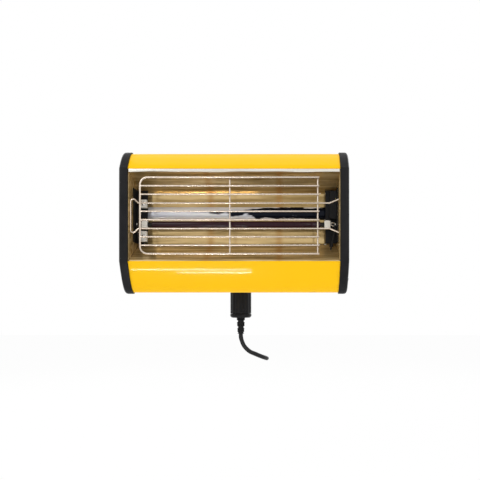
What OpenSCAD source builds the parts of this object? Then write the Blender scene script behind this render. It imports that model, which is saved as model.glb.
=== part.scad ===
// Hand-held infrared paint dryer: a yellow and black lamp head with a wire grille,
// a bent handle at its back with a guard disc and a fluted grip, a rotary timer,
// and a mains lead wound round the handle for storage.
// X runs along the lamp, the lamp shines towards -Y, and Z is up.
// The origin is the middle of the grip, on the grip's axis.

/* [Lamp head] */
// Length of the head over both end caps
head_len = 330; // [300:5:380]
// Width of each moulded end cap
cap_w = 13; // [10:1:16]
// How far the end caps stand out past the panels
cap_proud = 2; // [1:0.5:3]
// Outer wall of an end cap
cap_wall = 3.5; // [3:0.5:5]
// Width of an end cap's rim, seen from the side
cap_rim = 9; // [7:0.5:10]
// Upper edge of the front opening, above the lamp's middle line
lip_top = 75; // [70:1:80]
// Lower edge of the front opening, below the lamp's middle line
lip_bottom = 58; // [54:1:62]
// Pull of the top panel's curve, upwards
crown_top = 128; // [124:1:132]
// Pull of the bottom panel's curve, downwards
crown_bottom = 135; // [131:1:139]
// Depth of the top curve's pull behind the front edge
crown_top_y = 28; // [26:1:32]
// Depth of the bottom curve's pull behind the front edge
crown_bottom_y = 34; // [30:1:36]
// Depth of the shoulder where a panel meets the rear cover
shoulder_y = 54; // [52:1:56]
// Height of that shoulder from the middle line
shoulder_z = 78; // [76:1:80]
// Depth of the rear cover's ridge
ridge_y = 80; // [78:1:86]
// Sheet of the panels and of the rear cover
sheet = 1.5; // [1:0.1:2]

/* [Reflector] */
// Depth of the reflector's back plate
refl_y = 60; // [58:0.5:62]
// Upper fold of the back plate
refl_top = 50; // [46:1:52]
// Lower fold of the back plate, below the middle line
refl_low = 28; // [26:1:32]
// Sheet of the reflector
refl_t = 1; // [0.8:0.1:1.2]
// Height of the polished bead on the back plate
bead_h = 19.5; // [16:0.5:22]
// Middle of that bead above the middle line
bead_z = 19.4; // [17:0.1:24]
// How far the bead stands out
bead_out = 4.5; // [3:0.5:6]
// Bare end of the back plate beside the bead
bead_in = 11; // [8:0.5:25]

/* [Infrared lamp] */
// Outer diameter of the quartz tube
tube_d = 10; // [9:0.5:12]
// Wall of the quartz tube
tube_wall = 1; // [0.8:0.1:1.5]
// Gap between a terminal and the reflector's end plate
terminal_gap = 2.5; // [2:0.5:10]
// Depth of the tube's axis behind the front edge
tube_y = 35; // [32:1:38]
// Height of the tube's axis
tube_z = -1; // [-4:0.5:2]
// Length of a ceramic end
ceramic_len = 9; // [8:0.5:10]
// Height of a ceramic end
ceramic_h = 11; // [10.5:0.5:13]

/* [Grille] */
// Gap between the left end cap and the grille
grille_left = 16.5; // [14:0.5:22]
// Gap between the right end cap and the grille's last stay
grille_right = 32; // [28:0.5:38]
// Height of the grille's top wire
grille_top = 63; // [60:0.5:66]
// Height of the grille's bottom wire
grille_low = -47; // [-50:0.5:-44]
// Bars between the top and the bottom wire
grille_bars_n = 8; // [6:1:9]
// Diameter of the frame wire
frame_wire = 3; // [2.5:0.1:3.5]
// Diameter of a bar
bar_wire = 2.4; // [2:0.1:2.6]
// Corner radius of the frame wire
frame_bend = 11; // [9:0.5:14]
// Depth of the grille behind the front edge
grille_y = 4; // [3:0.5:6]

/* [Timer] */
// Middle of the timer plate along X
timer_x = -97; // [-100:1:-92]
// Middle of the timer plate, down the lower slope from the ridge
timer_s = 43; // [40:0.5:46]
// Width of the timer plate
timer_w = 76; // [72:1:80]
// Height of the timer plate
timer_h = 56; // [54:1:60]
// Thickness of the timer plate
timer_t = 2; // [1.5:0.1:3]
// Diameter of the timer knob
knob_d = 38; // [34:1:42]
// Height of the knob's skirt
knob_skirt = 4; // [3:0.5:6]
// Height of the knob with its bar
knob_h = 15; // [12:1:18]
// Diameter of the timer's shaft
shaft_d = 6; // [5:0.5:7]
// Turn of the timer from off to full time, in degrees
timer_turn = 300; // [270:10:330]

/* [Handle] */
// Depth of the handle's axis behind the front edge
grip_y = 130; // [127:1:135]
// Outer diameter of the handle tube
handle_d = 24; // [22:0.5:26]
// Wall of the handle tube
handle_wall = 2; // [1.5:0.1:3]
// Middle of the bracket, up the upper slope from the ridge
bracket_s = 56; // [54:0.5:57]
// Width of the bracket plate
bracket_w = 84; // [76:1:92]
// Height of the bracket plate
bracket_h = 48; // [46:1:50]
// Thickness of the bracket plate
bracket_t = 3; // [2.5:0.5:4]
// Height of the socket on the bracket plate
socket_h = 16; // [14:0.5:18]
// Outer diameter of the socket
socket_d = 34; // [32:0.5:38]
// Diameter of the guard disc
disc_d = 82; // [78:1:84]
// Thickness of the guard disc
disc_t = 4; // [3:0.5:5]
// Top of the guard disc, below the lamp's middle line
disc_z = 25; // [23:1:26]
// Diameter of the grip
grip_d = 35; // [34:0.5:37]
// Length of the fluted grip
grip_len = 107; // [100:1:112]
// Length of the grip's end cap
grip_end_len = 6.5; // [5:0.5:8]
// Flutes round the grip
flutes = 12; // [8:1:16]
// Depth of a flute
flute_deep = 0.9; // [0.5:0.1:1.2]
// Visible length of the strain relief
relief_len = 26.5; // [25:0.5:30]
// Diameter of the strain relief where it leaves the grip
relief_d0 = 14; // [13:0.5:15]
// Diameter of the strain relief at its thin end
relief_d1 = 11; // [10:0.5:12]
// Ribs on the strain relief
relief_ribs = 5; // [4:1:6]

/* [Mains lead] */
// Diameter of the mains lead
cord_d = 7; // [7:0.1:7]
// Radius of the coil's outer turn
coil_r = 43; // [43:0.1:43]
// Step from one turn to the next, sideways and up
coil_step = 7.5; // [7.5:0.1:7.5]
// Width of the plug
plug_w = 34; // [30:1:36]
// Thickness of the plug
plug_t = 16; // [14:0.5:17]
// Length of the plug's body
plug_len = 38; // [34:1:42]
// Length of a plug pin
pin_len = 19; // [17:0.5:20]
// Diameter of a plug pin
pin_d = 4.8; // [4:0.1:5]
// Distance between the plug's pins
pin_gap = 18.6; // [17:0.1:20]

/* [Hidden] */

yellow = "#ffc800";
black = "#232326";
dark = "#46464b";
gold = "#b9985a";
silver = "#cfd2d6";
cream = "#dcd8c8";

$fn = 48;
over = 1;
// clearance of a part in its seat
fit_gap = 0.3;
// radial clearance of a tube or shaft in its bore
bore_gap = 0.05;
curve_n = 14;
wire_sides = 12;

slope = atan((ridge_y - shoulder_y) / shoulder_z);
slope_len = norm([ridge_y - shoulder_y, shoulder_z]);
inner_x = head_len / 2 - cap_w;
end_x = inner_x - refl_t;
mid_share = 0.5;

lip_t = [0, lip_top];
lip_b = [0, -lip_bottom];
pull_t = [crown_top_y, crown_top];
pull_b = [crown_bottom_y, -crown_bottom];
edge_t = [shoulder_y, shoulder_z];
edge_b = [shoulder_y, -shoulder_z];

// Curve of a panel's outer face: a point, and the way it faces
function bend(a, v, b, t) = (1 - t) * (1 - t) * a + 2 * t * (1 - t) * v + t * t * b;
function along(a, v, b, t) = (1 - t) * (v - a) + t * (b - v);
function unit(v) = v / norm(v);
function left_of(v) = [-v[1], v[0]];
function panel_line(a, v, b, side, out) = [
    for (i = [0:curve_n])
        let (t = i / curve_n)
        bend(a, v, b, t) + out * side * left_of(unit(along(a, v, b, t)))
];
function turned(p) = [for (i = [len(p) - 1:-1:0]) p[i]];
function top_line(out) = panel_line(lip_t, pull_t, edge_t, 1, out);
function bottom_line(out) = panel_line(lip_b, pull_b, edge_b, -1, out);
function head_line(out) = flat_front(concat(
    bottom_line(out), [[ridge_y + out / cos(slope), 0]], turned(top_line(out))), out);
function flat_front(p, out) = concat(
    [[-out, p[0][1]]], [for (i = [1:len(p) - 2]) p[i]], [[-out, p[len(p) - 1][1]]]);

// Draws a side outline, given as depth and height, and pulls it from x0 to x1
module across(x0, x1) {
    translate([x0, 0, 0]) rotate([90, 0, 90]) linear_extrude(x1 - x0) children();
}

// Puts the lamp so that the middle of the grip is the origin
grip_top = -disc_z - disc_t;
grip_mid = grip_top - grip_len / 2;
module in_lamp() {
    translate([0, -grip_y, -grip_mid]) children();
}

// Work plane on the lower or the upper slope of the rear cover, seen from behind:
// local X is -X, local Z points away from the cover
module on_lower(x, s) {
    translate([x, ridge_y - s * sin(slope), -s * cos(slope)])
        rotate([-slope, 0, 0]) rotate([90, 0, 180]) children();
}
module on_upper(x, s) {
    translate([x, ridge_y - s * sin(slope), s * cos(slope)])
        rotate([slope, 0, 0]) rotate([90, 0, 180]) children();
}

// Cylinder along X, and a block from one corner to the other
module rod_x(x0, x1, y, z, r) {
    translate([x0, y, z]) rotate([0, 90, 0]) cylinder(h = x1 - x0, r = r);
}
module block(lo, hi) {
    translate(lo) cube(hi - lo);
}
module mirror_x() {
    children();
    mirror([1, 0, 0]) children();
}

// Sweeps a round tube of so many sides along points, as one closed solid
function point_dir(p, i) =
    unit(p[min(i + 1, len(p) - 1)] - p[max(i - 1, 0)]);
function moved_normal(n, t) = unit(n - (n * t) * t);
function start_normal(t) = moved_normal(abs(t[2]) < 1 - mid_share / 2 ? [0, 0, 1] : [1, 0, 0], t);
function normals(p) = [
    for (i = 0, n = start_normal(point_dir(p, 0)); i < len(p);
         i = i + 1, n = i < len(p) ? moved_normal(n, point_dir(p, i)) : n) n
];
function rings(p, r, sides) =
    let (ns = normals(p))
    [
        for (i = [0:len(p) - 1])
            let (t = point_dir(p, i), n = ns[i], b = cross(t, n))
            for (k = [0:sides - 1])
                p[i] + r * (cos(360 * k / sides) * n + sin(360 * k / sides) * b)
    ];
function side_faces(count, sides, from) = [
    for (i = [0:count - 2], k = [0:sides - 1])
        let (a = from + i * sides + k, b = from + i * sides + (k + 1) % sides)
        each [[a, a + sides, b], [b, a + sides, b + sides]]
];
module swept(p, r, sides) {
    first = [for (k = [0:sides - 1]) k];
    last = [for (k = [sides - 1:-1:0]) (len(p) - 1) * sides + k];
    polyhedron(rings(p, r, sides), concat(side_faces(len(p), sides, 0), [first, last]));
}

// The same as an open pipe, with a bore from end to end
module piped(p, r, bore, sides) {
    n = len(p) * sides;
    end = n - sides;
    inside = [for (f = side_faces(len(p), sides, n)) [f[2], f[1], f[0]]];
    rims = [
        for (k = [0:sides - 1])
            let (a = k, b = (k + 1) % sides)
            each [
                [a, b, n + b], [a, n + b, n + a],
                [end + b, end + a, n + end + a], [end + b, n + end + a, n + end + b]
            ]
    ];
    polyhedron(concat(rings(p, r, sides), rings(p, bore, sides)),
               concat(side_faces(len(p), sides, 0), inside, rims));
}

// Panels, covers and caps
module top_panel() {
    color(yellow) in_lamp() across(-inner_x, inner_x)
        polygon(concat(top_line(0), turned(top_line(-sheet))));
}
module bottom_panel() {
    color(yellow) in_lamp() across(-inner_x, inner_x)
        polygon(concat(bottom_line(0), turned(bottom_line(-sheet))));
}

// Vent slots in rows; a row is its distance from the ridge, first x, last x
slot_w = 3;
slot_h = 9;
slot_pitch = 9.5;
vent_s = [25, 41, 57];
vent_edge = 6;
vent_side = 58;
vent_wide = 76;
vent_apart = 30;
vent_gap = 13;
vent_end = inner_x - vent_edge;
vent_mid = [timer_x + timer_w / 2 + vent_gap, vent_end - vent_side - vent_apart];
vent_low = concat(
    [for (s = vent_s) [s, vent_end - vent_side, vent_end]],
    [for (s = [vent_s[1], vent_s[2]]) [s, vent_mid[0], vent_mid[1]]]);
vent_high = concat(
    [for (s = vent_s) [s, vent_end - vent_wide, vent_end]],
    [for (s = vent_s) [s, -vent_end, vent_wide - vent_end]]);
vent_base = [head_len, slope_len];
function row_xs(row) = [
    for (x = [row[1]:slot_pitch:row[2]]) x
];
module slots(rows, upper) {
    for (row = rows, x = row_xs(row)) {
        if (upper) on_upper(x, row[0]) slot_cut();
        else on_lower(x, row[0]) slot_cut();
    }
}
module slot_cut() {
    translate([-slot_w / 2, -slot_h / 2, -sheet - over])
        cube([slot_w, slot_h, sheet + 2 * over]);
}
cable_hole = 16;
cover_end = slope_len - fit_gap;
module rear_cover() {
    cover_y = ridge_y - cover_end * sin(slope);
    cover_z = cover_end * cos(slope);
    in_y = sheet * cos(slope);
    in_z = sheet * sin(slope);
    color(dark) in_lamp() difference() {
        across(-inner_x, inner_x) polygon([
            [cover_y, cover_z], [ridge_y, 0], [cover_y, -cover_z],
            [cover_y - in_y, -cover_z + in_z], [ridge_y - sheet / cos(slope), 0],
            [cover_y - in_y, cover_z - in_z]
        ]);
        slots(vent_low, false);
        slots(vent_high, true);
        on_upper(0, bracket_s) translate([0, 0, -sheet - over])
            cylinder(h = sheet + 2 * over, d = cable_hole);
        for (x = [-bracket_x, bracket_x], s = [-bracket_v, bracket_v])
            on_upper(x, bracket_s + s) translate([0, 0, -sheet - over])
                cylinder(h = sheet + 2 * over, r = screw_r + bore_gap);
        on_lower(timer_x, timer_s) translate([0, 0, -sheet - over])
            cylinder(h = sheet + 2 * over, d = bush_d + 2 * bore_gap);
        for (x = [-timer_sx, timer_sx], s = [-timer_sy, timer_sy])
            on_lower(timer_x + x, timer_s + s) translate([0, 0, -sheet - over])
                cylinder(h = sheet + 2 * over, r = small_r + bore_gap);
    }
}

// Screws: shank and head radii and heights
screw_r = 2;
small_r = 1.5;
head_r = 3.8;
head_h = 2.4;
small_head_r = 2.8;
small_head_h = 1.8;
cap_screw_y = 28;
cap_screw_z = 82;
mid_screw_y = 66;
recess_deep = 2;
recess_r = 5;
boss_r = 6;
rail_w = 16;
rail_h = 12;
screw_in = 14;
cap_places = [
    [cap_screw_y, cap_screw_z], [cap_screw_y, -cap_screw_z], [mid_screw_y, 0]
];
module end_cap() {
    pocket = cap_w - cap_wall;
    difference() {
        across(inner_x, inner_x + cap_w) polygon(head_line(cap_proud));
        difference() {
            across(inner_x - over, inner_x + pocket) polygon(head_line(cap_proud - cap_rim));
            for (p = cap_places)
                rod_x(inner_x - over, inner_x + pocket + over, p[0], p[1], boss_r);
        }
        for (p = cap_places)
            rod_x(inner_x - over, inner_x + cap_w + over, p[0], p[1], screw_r + bore_gap);
        rod_x(inner_x + cap_w - recess_deep, inner_x + cap_w + over, mid_screw_y, 0, recess_r);
    }
}
module end_cap_right() {
    color(black) in_lamp() end_cap();
}
module end_cap_left() {
    color(black) in_lamp() mirror([1, 0, 0]) end_cap();
}

// Steel rails that run between the caps and take their screws
module rail(side) {
    lo = [-inner_x, cap_screw_y - rail_w / 2, side * cap_screw_z - rail_h / 2];
    difference() {
        block(lo, lo + [2 * inner_x, rail_w, rail_h]);
        mirror_x() rod_x(inner_x - screw_in, inner_x + over, cap_screw_y,
                         side * cap_screw_z, screw_r + bore_gap);
    }
}
module rail_top() {
    color(silver) in_lamp() rail(1);
}
module rail_bottom() {
    color(silver) in_lamp() rail(-1);
}

// Cap screws: domed heads on the outside, shanks into the rails and the end plates
module cap_screw(p, x_head, reach) {
    rod_x(x_head - reach, x_head, p[0], p[1], screw_r);
    translate([x_head, p[0], p[1]]) rotate([0, 90, 0]) dome(head_r, head_h);
}
module dome(r, h) {
    ball = (r * r + h * h) / (2 * h);
    rotate_extrude() intersection() {
        translate([0, h - ball]) circle(r = ball);
        square([r, h]);
    }
}
module cap_screws() {
    face = head_len / 2;
    reach = cap_w + screw_in - over;
    color(silver) in_lamp() mirror_x() {
        cap_screw(cap_places[0], face, reach);
        cap_screw(cap_places[1], face, reach);
        cap_screw(cap_places[2], face - recess_deep, cap_w - recess_deep);
    }
}

// Reflector: a back plate, two slanted wings and two end plates
wing_gap = 0.2;
wing_start = 2;
wing_drop = 2;
top_lip = [wing_start, lip_top - wing_drop];
low_lip = [wing_start, -lip_bottom + wing_drop];
top_fold = [refl_y, refl_top];
low_fold = [refl_y, -refl_low];
function wing_line(a, b, out) =
    let (n = out * left_of(unit(b - a))) [a, b, b + n, a + n];
module reflector_back() {
    color(gold) in_lamp() block(
        [-end_x, refl_y, -refl_low + wing_gap], [end_x, refl_y + refl_t, refl_top - wing_gap]);
}
module reflector_top() {
    color(gold) in_lamp() across(-end_x, end_x) polygon(wing_line(top_lip, top_fold, refl_t));
}
module reflector_bottom() {
    color(gold) in_lamp() across(-end_x, end_x) polygon(wing_line(low_lip, low_fold, -refl_t));
}
module reflector_end() {
    across(end_x, inner_x) polygon([top_lip, top_fold, low_fold, low_lip]);
}
module reflector_end_right() {
    color(gold) in_lamp() reflector_end();
}
module reflector_end_left() {
    color(gold) in_lamp() mirror([1, 0, 0]) reflector_end();
}
bead_len = 2 * (end_x - bead_in);
module reflector_bead() {
    ball = (bead_h * bead_h / 4 + bead_out * bead_out) / (2 * bead_out);
    color(silver) in_lamp() intersection() {
        rod_x(-bead_len / 2, bead_len / 2, refl_y - bead_out + ball, bead_z, ball);
        block([-bead_len / 2 - over, refl_y - bead_out - over, bead_z - bead_h / 2],
              [bead_len / 2 + over, refl_y, bead_z + bead_h / 2]);
    }
}

// Infrared lamp: quartz tube, filament, ceramic ends, clips and terminals
filament_d = 2.2;
term_d = 3;
term_t = 2;
term_bore = 2.4;
term_ring = 6;
term_len = 5;
tube_end = end_x - terminal_gap - term_ring / 2 - term_len - ceramic_len;
ceramic_y = 9;
module lamp_tube() {
    color("#2a1020") in_lamp() difference() {
        rod_x(-tube_end, tube_end, tube_y, tube_z, tube_d / 2);
        rod_x(-tube_end - over, tube_end + over, tube_y, tube_z, tube_d / 2 - tube_wall);
    }
}
module lamp_filament() {
    color("#8a6a50") in_lamp() rod_x(-tube_end, tube_end, tube_y, tube_z, filament_d / 2);
}
module lamp_ceramics() {
    color(cream) in_lamp() mirror_x() block(
        [tube_end, tube_y - ceramic_y / 2, tube_z - ceramic_h / 2],
        [tube_end + ceramic_len, tube_y + ceramic_y / 2, tube_z + ceramic_h / 2]);
}
web_y = 45;
web_t = 1.5;
clip_w = 5;
clip_t = 0.8;
module lamp_clips() {
    x0 = tube_end + (ceramic_len - clip_w) / 2;
    back = tube_y + ceramic_y / 2;
    half = ceramic_h / 2;
    color(silver) in_lamp() mirror_x() {
        block([x0, back, tube_z - half], [x0 + clip_w, web_y, tube_z + half]);
        for (side = [-1, 1]) translate([0, 0, tube_z + side * (half + clip_t / 2)])
            block([x0, tube_y - ceramic_y / 4, -clip_t / 2], [x0 + clip_w, web_y, clip_t / 2]);
    }
}
module lamp_terminals() {
    x0 = tube_end + ceramic_len;
    x1 = x0 + term_len;
    color(silver) in_lamp() mirror_x() difference() {
        union() {
            rod_x(x0, x1, tube_y, tube_z, term_d / 2);
            translate([x1, tube_y + term_t / 2, tube_z])
                rotate([90, 0, 0]) cylinder(h = term_t, d = term_ring);
        }
        translate([x1, tube_y + term_d, tube_z])
            rotate([90, 0, 0]) cylinder(h = 2 * term_d, d = term_bore);
    }
}

// Brackets that hold the lamp: a web behind its end and a flange on the end plate
web_w = 17;
web_in = end_x - web_w;
flange_t = 1.5;
flange_y = 20;
web_top = 52;
web_low = 28;
leg_w = 6;
module lamp_bracket() {
    block([web_in, web_y, -web_low], [end_x, web_y + web_t, web_top]);
    block([end_x - flange_t, web_y - flange_y, -web_low], [end_x, web_y, web_top]);
    block([web_in + leg_w, web_y, -low_leg], [web_in + 2 * leg_w, web_y + web_t, -web_low]);
}
low_leg = 33;
module lamp_bracket_left() {
    color(black) in_lamp() mirror([1, 0, 0]) lamp_bracket();
}
module lamp_bracket_right() {
    color(black) in_lamp() lamp_bracket();
    color(black) in_lamp() block([housing_x, housing_y, housing_z0],
                                 [end_x - flange_t, web_y, housing_z1]);
}
housing_w = 11;
housing_x = end_x - housing_w;
housing_y = 36;
housing_z0 = 8;
housing_z1 = 50;

// Mica blocks on the left bracket, with their screws
mica_y = 38;
mica_in = 8;
mica_w = 8.5;
mica_x0 = -end_x + mica_in;
mica_x1 = mica_x0 + mica_w;
mica_upper = [25, 37];
mica_lower = [-26, -10];
module mica_blocks() {
    color(cream) in_lamp() for (z = [mica_upper, mica_lower]) difference() {
        block([mica_x0, mica_y, z[0]], [mica_x1, web_y, z[1]]);
        translate([(mica_x0 + mica_x1) / 2, mica_y - over, (z[0] + z[1]) / 2])
            rotate([-90, 0, 0]) cylinder(h = web_y - mica_y + 2 * over, r = small_r + bore_gap);
    }
}
module mica_screws() {
    color(silver) in_lamp() for (z = [mica_upper, mica_lower])
        translate([(mica_x0 + mica_x1) / 2, mica_y, (z[0] + z[1]) / 2]) rotate([90, 0, 0]) {
            dome(small_head_r, small_head_h);
            translate([0, 0, -(web_y - mica_y)]) cylinder(h = web_y - mica_y, r = small_r);
        }
}

// Leads from the terminals to the bottom corner of each end
lead_d = 2.4;
function wing_z(y) = low_lip[1]
    + (y - low_lip[0]) * (low_fold[1] - low_lip[1]) / (low_fold[0] - low_lip[0]);
module lamp_leads() {
    x0 = tube_end + ceramic_len + term_len;
    y0 = tube_y - term_d / 2 - lead_d / 2;
    y1 = y0 - lead_d;
    drop = tube_z - term_ring;
    color(black) in_lamp() mirror_x() swept([
        [x0, y0, tube_z], [x0 + lead_d, y1, drop],
        [x0 - lead_d, y1, drop - 3 * term_ring], [x0 - term_len, y1, wing_z(y1) + lead_d]
    ], lead_d / 2, wire_sides);
}

// Grille: a bent frame wire, bars, one long wire that hooks into both ends, and stays
grille_x0 = -inner_x + grille_left;
grille_x1 = inner_x - grille_right;
grille_pitch = (grille_top - grille_low) / (grille_bars_n + 1);
bar_over = 2;
function bar_z(k) = grille_top - k * grille_pitch;
upper_n = 3;
lower_n = 6;
stay_y = grille_y + (frame_wire + bar_wire) / 2 + bore_gap;
module grille_frame() {
    r = frame_wire / 2;
    x1 = grille_x1 + bar_over;
    xa = grille_x0 + frame_bend;
    color(silver) in_lamp() {
        rod_x(xa, x1, grille_y, grille_top, r);
        rod_x(xa, x1, grille_y, grille_low, r);
        translate([grille_x0, grille_y, grille_low + frame_bend])
            cylinder(h = grille_top - grille_low - 2 * frame_bend, r = r);
        translate([xa, grille_y, grille_top - frame_bend]) rotate([90, 0, 0])
            rotate([0, 0, 90]) rotate_extrude(angle = 90) translate([frame_bend, 0]) circle(r = r);
        translate([xa, grille_y, grille_low + frame_bend]) rotate([90, 0, 0])
            rotate([0, 0, 180]) rotate_extrude(angle = 90) translate([frame_bend, 0]) circle(r = r);
    }
}
module grille_bars() {
    x0 = grille_x0 + frame_wire / 2 + bore_gap;
    color(silver) in_lamp() for (k = [1:grille_bars_n])
        if (k != upper_n && k != lower_n)
            rod_x(x0, grille_x1 + bar_over, grille_y, bar_z(k), bar_wire / 2);
}
hook_in = 14;
hook_out = 5.5;
hook_end = 7;
hook_x = end_x - hook_in;
hook_left = end_x - hook_end;
hook_y = grille_y + frame_wire / 2 + bar_wire / 2 + bore_gap;
module grille_long_bars() {
    upper = bar_z(upper_n);
    lower = bar_z(lower_n);
    x0 = -end_x + bar_wire / 2 + bore_gap;
    x1 = grille_x0 - frame_wire;
    x2 = end_x - bar_wire / 4;
    color(silver) in_lamp() swept([
        [x2, hook_y, upper + hook_out], [hook_x, hook_y, upper], [x1, hook_y, upper],
        [-hook_left, hook_y, upper + hook_out], [x0, hook_y, upper + hook_out],
        [x0, hook_y, lower - hook_out], [-hook_left, hook_y, lower - hook_out],
        [x1, hook_y, lower], [hook_x, hook_y, lower], [x2, hook_y, lower - hook_out]
    ], bar_wire / 2, wire_sides);
}
centre_x = -7;
module grille_stays() {
    y = hook_y + bar_wire + bore_gap;
    color(silver) in_lamp() for (x = [centre_x, grille_x1])
        translate([x, y, grille_low]) cylinder(h = grille_top - grille_low, r = bar_wire / 2);
    color(silver) in_lamp() for (x = [centre_x, grille_x1], k = [0, grille_bars_n + 1])
        translate([x, grille_y + frame_wire / 2 + bore_gap, bar_z(k)])
            rotate([-90, 0, 0]) cylinder(h = y - grille_y - frame_wire / 2, r = bar_wire / 2);
}

// Timer: plate, marks, knob, shaft and the switch behind the cover
plate_round = 3;
bush_d = 9;
tick_r = 24;
tick_l = 4;
tick_w = 1;
tick_h = 0.3;
tick_n = 11;
timer_sx = 34;
timer_sy = 24;
module rounded_plate(w, h, t, r) {
    block([-w / 2 + r, -h / 2, 0], [w / 2 - r, h / 2, t]);
    block([-w / 2, -h / 2 + r, 0], [w / 2, h / 2 - r, t]);
    for (x = [-w / 2 + r, w / 2 - r], y = [-h / 2 + r, h / 2 - r])
        translate([x, y, 0]) cylinder(h = t, r = r);
}
module timer_plate() {
    color(black) in_lamp() on_lower(timer_x, timer_s) difference() {
        rounded_plate(timer_w, timer_h, timer_t, plate_round);
        translate([0, 0, -over]) cylinder(h = timer_t + 2 * over, d = bush_d + 2 * bore_gap);
        for (x = [-timer_sx, timer_sx], y = [-timer_sy, timer_sy])
            translate([x, y, -over]) cylinder(h = timer_t + 2 * over, r = small_r + bore_gap);
    }
}
function tick_angle(i) = 90 + timer_turn / 2 - i * timer_turn / (tick_n - 1);
module timer_marks() {
    color("white") in_lamp() on_lower(timer_x, timer_s) for (i = [0:tick_n - 1])
        rotate([0, 0, tick_angle(i)])
            block([tick_r - tick_l / 2, -tick_w / 2, timer_t],
                  [tick_r + tick_l / 2, tick_w / 2, timer_t + tick_h]);
}
knob_gap = 0.6;
knob_bar = 9;
knob_grip_r = 1.5;
shaft_in = 5;
knob_cap = 3;
// The knob points at the first mark when the timer is off
module timer_knob() {
    z0 = timer_t + knob_gap;
    color(black) in_lamp() on_lower(timer_x, timer_s)
        rotate([0, 0, tick_angle(0)]) difference() {
        union() {
            translate([0, 0, z0]) cylinder(h = knob_skirt, d = knob_d);
            block([-knob_d / 2 + knob_grip_r, -knob_bar / 2, z0],
                  [knob_d / 2 - knob_grip_r, knob_bar / 2, z0 + knob_h]);
        }
        translate([0, 0, z0 - over])
            cylinder(h = knob_h - knob_cap + over, d = shaft_d + 2 * bore_gap);
    }
}
switch_d = 30;
switch_h = 6.5;
module timer_shaft() {
    z1 = timer_t + knob_gap + knob_h - knob_cap;
    color(silver) in_lamp() on_lower(timer_x, timer_s)
        translate([0, 0, -sheet - shaft_in]) cylinder(h = z1 + sheet + shaft_in, d = shaft_d);
}
module timer_switch() {
    color(dark) in_lamp() on_lower(timer_x, timer_s) difference() {
        union() {
            translate([0, 0, -sheet - switch_h]) cylinder(h = switch_h, d = switch_d);
            translate([0, 0, -sheet]) cylinder(h = sheet + timer_t, d = bush_d);
        }
        translate([0, 0, -sheet - shaft_in - fit_gap])
            cylinder(h = shaft_in + sheet + timer_t + over, d = shaft_d + 2 * bore_gap);
    }
}
module timer_screws() {
    color(silver) in_lamp() for (x = [-timer_sx, timer_sx], s = [-timer_sy, timer_sy])
        on_lower(timer_x + x, timer_s + s) {
            translate([0, 0, timer_t]) dome(small_head_r, small_head_h);
            translate([0, 0, -sheet]) cylinder(h = sheet + timer_t, r = small_r);
        }
}

// Electrics inside the head
box_len = 60;
box_y = 24;
box_h = 18;
module control_box() {
    z0 = -cap_screw_z + rail_h / 2;
    color(black) in_lamp() block(
        [timer_x - box_len / 2, cap_screw_y - rail_w / 2, z0],
        [timer_x + box_len / 2, cap_screw_y - rail_w / 2 + box_y, z0 + box_h]);
}
block_len = 44;
block_x = 36;
block_y = 12;
block_h = 14;
module terminal_block() {
    color(cream) in_lamp() block(
        [block_x, refl_y + refl_t, -block_h / 2],
        [block_x + block_len, refl_y + refl_t + block_y, block_h / 2]);
}
harness_d = 4;
module wiring() {
    y0 = refl_y + refl_t + harness_d / 2;
    x1 = timer_x + switch_d / 2 + harness_d;
    z_box = -cap_screw_z + rail_h / 2 + box_h;
    color("#303036") in_lamp() swept([
        [block_x, y0, 0], [-block_len, y0, 0], [timer_x + switch_d, y0, -harness_d],
        [x1, y0, -refl_low - harness_d], [x1, y0 - 3 * harness_d, z_box + 3 * harness_d],
        [x1, y0 - 6 * harness_d, z_box + 2 * harness_d], [x1, y0 - 6 * harness_d, z_box]
    ], harness_d / 2, wire_sides);
}

// Handle: plate, socket, bent tube, cable, guard disc, grip, end and strain relief
bracket_x = 34;
bracket_v = 18;
module handle_plate() {
    color(black) in_lamp() on_upper(0, bracket_s) difference() {
        rounded_plate(bracket_w, bracket_h, bracket_t, plate_round);
        translate([0, 0, -over]) cylinder(h = bracket_t + 2 * over, d = cable_hole);
        for (x = [-bracket_x, bracket_x], y = [-bracket_v, bracket_v])
            translate([x, y, -over]) cylinder(h = bracket_t + 2 * over, r = screw_r + bore_gap);
    }
}
module bracket_screws() {
    color(silver) in_lamp() for (x = [-bracket_x, bracket_x], s = [-bracket_v, bracket_v])
        on_upper(x, bracket_s + s) {
            translate([0, 0, bracket_t]) dome(head_r, head_h);
            translate([0, 0, -sheet]) cylinder(h = sheet + bracket_t, r = screw_r);
            translate([0, 0, -sheet - screw_r]) cylinder(h = screw_r, r = head_r, $fn = 6);
        }
}
socket_floor = 2;
foot_t = 3;
clamp_z = 9;
module handle_socket() {
    color(black) in_lamp() on_upper(0, bracket_s) translate([0, 0, bracket_t]) difference() {
        union() {
            cylinder(h = socket_h, d = socket_d);
            cylinder(h = foot_t, d = socket_d + 2 * head_r);
        }
        translate([0, 0, socket_floor])
            cylinder(h = socket_h, d = handle_d + 2 * bore_gap);
        translate([0, 0, -over]) cylinder(h = socket_h, d = cable_hole);
        for (side = [0, 180]) rotate([0, 0, side]) translate([handle_d / 2 - over, 0, clamp_z])
            rotate([0, 90, 0]) cylinder(h = socket_d / 2, r = screw_r + bore_gap);
    }
}
module socket_screws() {
    wall = (socket_d - handle_d) / 2 - 2 * bore_gap;
    color(silver) in_lamp() on_upper(0, bracket_s) translate([0, 0, bracket_t + clamp_z])
        for (side = [0, 180]) rotate([0, 0, side])
            translate([handle_d / 2 + 2 * bore_gap, 0, 0]) rotate([0, 90, 0]) {
                cylinder(h = wall, r = screw_r);
                translate([0, 0, wall]) dome(head_r, head_h);
            }
}

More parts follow.
